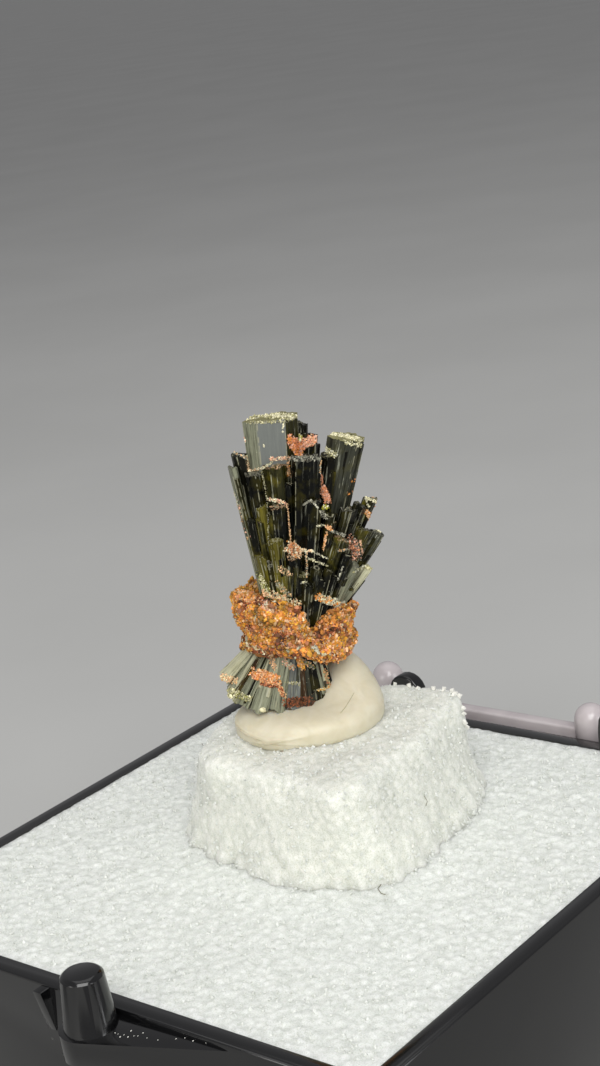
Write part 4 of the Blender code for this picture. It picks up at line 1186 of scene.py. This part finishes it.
def epidote(green):
    """The whole specimen: the sheaf, its lower fan and the thin prisms between them."""
    draw = random.Random(SEEDS["prisms"])
    bm = bmesh.new()
    bm.verts.layers.float_vector.new("along")
    bm.verts.layers.float_color.new("body")
    bm.verts.layers.float_color.new("crown")
    bm.verts.layers.float_vector.new("marks")
    crystal(bm, HEART, 0.1, 0.05, 1, ridge=0.01, pitch=0.4)
    behind = tuple(back_prisms())
    for count, prism in enumerate((FAN_HEART, *SHEAF, *FAN, *behind)):
        turn = draw.uniform(-0.35, 0.35)
        slope = draw.uniform(-0.22, 0.22)
        window = prism is SHEAF[WINDOW]
        crystal(bm, prism, turn * (0.2 if window else 1.0), slope, 100 + count, window=window)
    more = random.Random(SEEDS["thin prisms"])
    down = [prism for prism in (*FAN, *behind) if prism[0][1] < 0]
    up = [prism for prism in (*SHEAF, *behind) if prism[0][1] > 0]
    thin = [*fillers(up, more), *fillers(down, more)]
    for prism in (*SHEAF[1:], *FAN, *behind):
        thin += splinters(prism, more, SPLINTERS, prism[0][1] < 0)
    for count, prism in enumerate(thin):
        turn = more.uniform(-0.5, 0.5)
        slope = more.uniform(-0.2, 0.2)
        crystal(bm, prism, turn, slope, 1000 + count, ridge=0.02, pitch=0.14, ragged=0.12)
    return finish(bm, "epidote_sheaf", green, ["epidote_crystals"])


def grain_shapes(draw):
    """Angular grains about 1 mm across, to be copied many times: eight simple, eight rounder."""
    shapes = []
    for count in range(16):
        bm = bmesh.new()
        if count < 8:
            bmesh.ops.create_uvsphere(bm, u_segments=4, v_segments=2, radius=0.58)
        else:
            bmesh.ops.create_icosphere(bm, subdivisions=1, radius=0.5)
        for vert in bm.verts:
            vert.co *= draw.uniform(0.65, 1.3)
        mesh = bpy.data.meshes.new("grain")
        bm.to_mesh(mesh)
        bm.free()
        shapes.append(mesh)
    return shapes


def add_grains(bm, places, shapes, draw):
    """Copies a grain to every place: where, how large and of what colour."""
    layer = bm.verts.layers.float_color["body"]
    for where, size, colour in places:
        before = len(bm.verts)
        bm.from_mesh(draw.choice(shapes[:8] if size < 0.18 else shapes[8:]))
        bm.verts.ensure_lookup_table()
        angle = draw.uniform(0, 6.3)
        turn = Matrix.Rotation(angle, 3, Vector((draw.uniform(-1, 1), draw.uniform(-1, 1), 1)))
        stretch = Vector((1.0, draw.uniform(0.55, 1.0), draw.uniform(0.6, 1.6))) * size
        for vert in bm.verts[before:]:
            vert.co = turn @ (vert.co * stretch) + where
            vert[layer] = colour


def tinted(name, draw, light=1.0):
    """A tone for one grain, a little darker or lighter than the next."""
    light *= draw.uniform(0.6, 1.25)
    return (*[c * light for c in linear(TONES[name])[:3]], 1.0)


def seen_places(table, trees, draw):
    """Where the camera's lines of sight to each growth meet the surfaces that carry it."""
    for x0, y0, x1, y1, half, count, size, tones in table:
        found = []
        for _ in range(round(count * GROWTH_DENSITY)):
            share = draw.random()
            angle = draw.uniform(0, 2 * math.pi)
            away = half * math.sqrt(draw.random())
            x = x0 + (x1 - x0) * share + away * math.cos(angle)
            y = y0 + (y1 - y0) * share + away * math.sin(angle)
            line = sight_line(x, y)
            hits = [tree.ray_cast(EYE, line) for tree in trees]
            hits = [hit for hit in hits if hit[0] is not None]
            if not hits:
                continue
            where, _, _, away = min(hits, key=lambda hit: hit[3])
            grain = size * draw.uniform(0.4, 1.0)
            colour = tinted(draw.choice(tones), draw, 1.15)
            found.append((away, where - line * (grain * 0.05), grain, colour))
        # Those that fall past an edge, on to a surface further back, are dropped.
        middle = sorted(hit[0] for hit in found)[len(found) // 2] if found else 0.0
        for away, where, grain, colour in found:
            if abs(away - middle) < ONE_SURFACE:
                yield where, grain, colour


def tree_of(made):
    """A search tree of a finished piece, in millimetres."""
    bm = bmesh.new()
    bm.from_mesh(made.data)
    bmesh.ops.scale(bm, vec=(1 / MM, 1 / MM, 1 / MM), verts=bm.verts)
    tree = BVHTree.FromBMesh(bm)
    bm.free()
    return tree


def stain_of(place):
    """Which colours the crust has at a place: yellow, orange or red-brown patches."""
    stain = noise.noise(place / 0.9) + 0.4 * noise.noise(place / 0.35)
    if stain > 0.12:
        return ("gold", "gold", "orange", "orange", "tan")
    if stain > -0.25:
        return ("orange", "gold", "orange", "salmon", "peach")
    return ("orange", "salmon", "rust", "rust", "umber")


def crust_shell(rust, source):
    """The crust's ground: the band of the solids, knobbly, grown on to the prisms."""
    bm = remeshed(source, CRUST_VOXEL)
    layer = bm.verts.layers.float_color.new("body")
    bm.normal_update()
    for vert in bm.verts:
        from_axis = vert.co - WAIST
        from_axis -= AXIS_W * from_axis.dot(AXIS_W)
        out = from_axis.normalized()
        facing = vert.normal.dot(out)
        if facing < -0.3:
            vert.co -= out * GROWN_IN
            continue
        knobs = 0.5 - noise.voronoi(vert.co / KNOB)[0][0]
        lumps = 0.5 - noise.voronoi(vert.co / LUMP)[0][0]
        lift = KNOB_HEIGHT * knobs + LUMP_HEIGHT * lumps
        # Both rims are frayed, and in front the lower one is drawn up off the fan.
        fray = 0.35 * noise.noise(vert.co / 0.7) + 0.2 * noise.noise(vert.co / 0.3)
        low = LOWER_RIM[0] if from_axis.dot(AXIS_U) < LOWER_RIM[2] else LOWER_RIM[1]
        height = (vert.co - WAIST).dot(AXIS_W)
        drawn = max(0.0, low + fray - height) if from_axis.dot(AXIS_D) > 0 else 0.0
        vert.co += vert.normal * (lift - 0.08) + AXIS_W * (0.85 * drawn + 0.5 * fray)
        for u, w, size, amount in CRUST_SWELLS:
            away = Vector((from_axis.dot(AXIS_U) - u, height - w))
            vert.co += AXIS_U * (amount * math.exp(-away.length_squared / size**2))
    # Painted shade: the ground is darkest in the valleys between the knobs.
    for vert in bm.verts:
        knob = noise.voronoi(vert.co / KNOB)[0][0]
        light = max(0.15, 0.9 - 1.1 * knob)
        name = stain_of(vert.co)[0]
        vert[layer] = (*[c * light for c in linear(TONES[name])[:3]], 1.0)
    return finish(bm, "limonite_shell", rust, ["iron_crust"])


def crust_grains(rust, shell, shapes):
    """Grains that cover the shell, spread evenly over it, each turned its own way."""
    draw = random.Random(SEEDS["crust"])
    bm = bmesh.new()
    bm.verts.layers.float_color.new("body")
    outer = []
    for face in shell.data.polygons:
        out = face.center / MM - WAIST
        out -= AXIS_W * out.dot(AXIS_W)
        if face.normal.dot(out) > -0.1:
            outer.append(face)
    places = []
    for face in draw.choices(outer, weights=[face.area for face in outer], k=CRUST_GRAINS):
        size = draw.uniform(*(FINE_GRAINS if draw.random() < 0.93 else COARSE_GRAINS))
        where = face.center / MM + face.normal * draw.uniform(-0.05, 0.08)
        stained = draw.random() < 0.95
        name = draw.choice(stain_of(where) if stained else ("cream", "ivory", "peach"))
        # Painted shade: the valleys between the knobs are darker, the knobs lighter.
        hollow_shade = max(0.4, 1.5 - 1.3 * noise.voronoi(where / KNOB)[0][0]) * draw.uniform(0.8, 1.3)
        places.append((where, size, tinted(name, draw, hollow_shade)))
    add_grains(bm, places, shapes, draw)
    return finish(bm, "limonite_grains", rust, flat=True)


def fan_grains(rust, shell, sheaf, shapes):
    """The growths seen on the crust and on the lower fan."""
    draw = random.Random(SEEDS["fan"])
    bm = bmesh.new()
    bm.verts.layers.float_color.new("body")
    trees = [tree_of(shell), tree_of(sheaf)]
    add_grains(bm, seen_places(LOW_GROWTHS, trees, draw), shapes, draw)
    return finish(bm, "fan_grains", rust, flat=True)


def sheaf_grains(rust, sheaf, shapes):
    """The cream, pink and orange growths along the prisms' edges and tips."""
    draw = random.Random(SEEDS["edges"])
    bm = bmesh.new()
    bm.verts.layers.float_color.new("body")
    tree = tree_of(sheaf)
    add_grains(bm, seen_places(GROWTHS, [tree], draw), shapes, draw)
    # The sides and back, which the picture doesn't show, get growths of the same kinds.
    places = []
    for _ in range(BACK_GROWTHS[0]):
        angle = draw.uniform(math.radians(15), math.radians(165))
        height = draw.uniform(1.5, 8.5)
        towards = -(AXIS_U * math.cos(angle) - AXIS_D * math.sin(angle))
        centre = in_specimen(0, height, 0) - towards * 8
        tones = draw.choice(BACK_GROWTH_TONES)
        across = towards.cross(AXIS_W)
        middle = draw.uniform(-1.4, 1.4)
        long = draw.choice((0.15, 0.2, 1.2))
        for _ in range(BACK_GROWTHS[1]):
            start = centre + across * (middle + draw.gauss(0, 0.12))
            start += AXIS_W * draw.uniform(-long, long)
            where, _, _, _ = tree.ray_cast(start, towards)
            if where is not None:
                places.append((where, draw.uniform(0.07, 0.15), tinted(draw.choice(tones), draw)))
    add_grains(bm, places, shapes, draw)
    return finish(bm, "edge_grains", rust, flat=True)


def thread(bm, points, width):
    """A thin round hair along points, closed at both ends."""
    ring = bmesh.ops.create_circle(bm, segments=HAIR_SIDES, radius=width / 2)["verts"]
    level = list({edge for vert in ring for edge in vert.link_edges})
    bmesh.ops.contextual_create(bm, geom=level)
    rings = [ring]
    for _ in points[1:]:
        raised = bmesh.ops.extrude_edge_only(bm, edges=level)["geom"]
        level = [
            item for item in raised
            if isinstance(item, bmesh.types.BMEdge) and item.is_boundary
        ]
        rings.append([item for item in raised if isinstance(item, bmesh.types.BMVert)])
    bmesh.ops.contextual_create(bm, geom=level)
    for count, verts in enumerate(rings):
        ahead = points[min(count + 1, len(points) - 1)] - points[max(count - 1, 0)]
        turn = ahead.to_track_quat("Z", "Y").to_matrix()
        for vert in verts:
            vert.co = turn @ vert.co + points[count]


def dust_and_hairs(lint, block, *carriers):
    """Lint, dust and chips on the foam, the putty and the tab, and the block's torn tufts."""
    draw = random.Random(SEEDS["lint"])
    bm = bmesh.new()
    block_tree = tree_of(block)
    trees = [*(tree_of(carrier) for carrier in carriers), block_tree]
    body = bm.verts.layers.float_color.new("body")
    for path, width, tone in HAIRS:
        points = []
        for (x0, y0), (x1, y1) in zip(path, path[1:]):
            for step in range(4):
                share = step / 4
                where = landing(trees, x0 + (x1 - x0) * share, y0 + (y1 - y0) * share)
                if where and (not points or (where[0] - points[-1]).length < HAIR_STEP):
                    points.append(where[0] + where[1] * width * 0.6)
        before = len(bm.verts)
        thread(bm, points, width)
        bm.verts.ensure_lookup_table()
        for vert in bm.verts[before:]:
            vert[body] = linear(TONES[tone])
    for x0, y0, x1, y1, width in TUFTS:
        # From where it ends, back along its own line until that meets the block.
        shares = (step / 6 for step in range(30))
        tries = (landing([block_tree], x1 + (x0 - x1) * t, y1 + (y0 - y1) * t) for t in shares)
        root = next((found[0] for found in tries if found), None)
        if root is None:
            continue
        away = (EYE_RIGHT * (x1 - x0) - EYE_UP * (y1 - y0)) * ((root - EYE).length / FOCAL_PIXELS)
        bend = root + away * 0.5 + UP * draw.uniform(-0.1, 0.15)
        before = len(bm.verts)
        thread(bm, [root - away * 0.4, root, bend, root + away * 0.6], width)
        bm.verts.ensure_lookup_table()
        for vert in bm.verts[before:]:
            vert[body] = linear(TONES["white"])
    for x, y, size, flat in CHIPS:
        where, normal = landing(trees, x, y)
        chip = bmesh.ops.create_icosphere(bm, subdivisions=1, radius=size / 2)["verts"]
        turn = normal.to_track_quat("Z", "Y").to_matrix()
        for vert in chip:
            vert.co *= draw.uniform(0.6, 1.2)
            vert.co = turn @ Vector((vert.co.x, vert.co.y * 0.6, vert.co.z * flat)) + where
            vert[body] = linear(TONES["white"])
    return finish(bm, "lint", lint, flat=True)


def landing(trees, x, y):
    """The place, and its facing, where the line of sight of a pixel first meets a carrier."""
    line = sight_line(x, y)
    hits = [hit for hit in (tree.ray_cast(EYE, line) for tree in trees) if hit[0] is not None]
    if not hits:
        return None
    where, normal, _, _ = min(hits, key=lambda hit: hit[3])
    return where, normal


# Each soft box: its name, place in mm, size in mm, power in W and colour.
LIGHTS = (
    ("key softbox", (-156, -142, 199), 220, 0.68, (1.0, 0.995, 0.98)),
    ("overhead softbox", (20, 20, 270), 240, 0.14, (1.0, 1.0, 0.99)),
    ("left softbox", (-230, 30, 70), 110, 0.12, (1.0, 0.985, 0.96)),
    ("right softbox", (30, -240, 60), 110, 0.12, (0.97, 0.985, 1.0)),
)
FLOOR_HALF = 6.0  # metres


def soft_light(name, place, size, watts, colour):
    """A square soft box that looks at the waist."""
    light = bpy.data.lights.new(name, "AREA")
    light.energy = watts
    light.size = size * MM
    light.color = colour
    made = bpy.data.objects.new(name, light)
    made.location = Vector(place) * MM
    made.rotation_euler = (Vector(place) - WAIST).to_track_quat("Z", "Y").to_euler()
    bpy.context.scene.collection.objects.link(made)


def studio():
    """The camera, the lights, the pale world and the paper floor."""
    camera = bpy.data.cameras.new("camera")
    camera.sensor_width = SENSOR
    camera.lens = FOCAL_PIXELS / PICTURE[1] * SENSOR
    camera.clip_start = 0.001
    camera.clip_end = 20.0
    made = bpy.data.objects.new("camera", camera)
    turn = Matrix((EYE_RIGHT, EYE_UP, EYE_BACK)).transposed().to_4x4()
    made.matrix_world = Matrix.Translation(EYE * MM) @ turn
    bpy.context.scene.collection.objects.link(made)
    bpy.context.scene.camera = made
    for light in LIGHTS:
        soft_light(*light)
    world = bpy.data.worlds.new("studio")
    world.use_nodes = True
    world.node_tree.nodes["Background"].inputs["Color"].default_value = linear("#b4b4b6")
    world.node_tree.nodes["Background"].inputs["Strength"].default_value = 0.7
    bpy.context.scene.world = world
    # Plain output colours, so that the hex values above come out as they are lit.
    bpy.context.scene.view_settings.view_transform = "Standard"
    bm = bmesh.new()
    bmesh.ops.create_grid(bm, x_segments=1, y_segments=1, size=FLOOR_HALF)
    mesh = bpy.data.meshes.new("floor")
    bm.to_mesh(mesh)
    bm.free()
    mesh.materials.append(paper_material())
    floor = bpy.data.objects.new("floor", mesh)
    bpy.context.scene.collection.objects.link(floor)
    floor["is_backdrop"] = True


studio()
nodes = frame["nodes"]
base = moulded_base(black_polystyrene(), nodes["box_base"])
hinge_rail(clear_polystyrene())
pad_foam = bead_foam("polystyrene bead foam", "#f4f6f2", "#e1e4df", "#e5e7e2", 0.7)
block_foam = bead_foam("torn polystyrene bead foam", "#eeeee7", "#dddfd7", "#e6e7df", 0.8)
loose_foam = bead_foam("loose polystyrene beads", "#e2e4e0", "#d8dad5", "#e8eae6", 0.0)
sheet = foam_pad(pad_foam)
stand = foam_block(block_foam, nodes["foam_block"])
blob = putty_blob(putty_material())
sheaf = epidote(epidote_material())
rust = crust_material()
shapes = grain_shapes(random.Random(SEEDS["grain shapes"]))
shell = crust_shell(rust, nodes["iron_crust"])
crust_grains(rust, shell, shapes)
fan_grains(rust, shell, sheaf, shapes)
sheaf_grains(rust, sheaf, shapes)
foam_crumbs(loose_foam, sheet, stand, shapes)
dust_and_hairs(lint_material(), stand, base, sheet, blob)

shown_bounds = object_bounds()
boxes = {"cad": cad_bounds, "visual": shown_bounds}
{name: [list(v) for v in box] for name, box in boxes.items()}
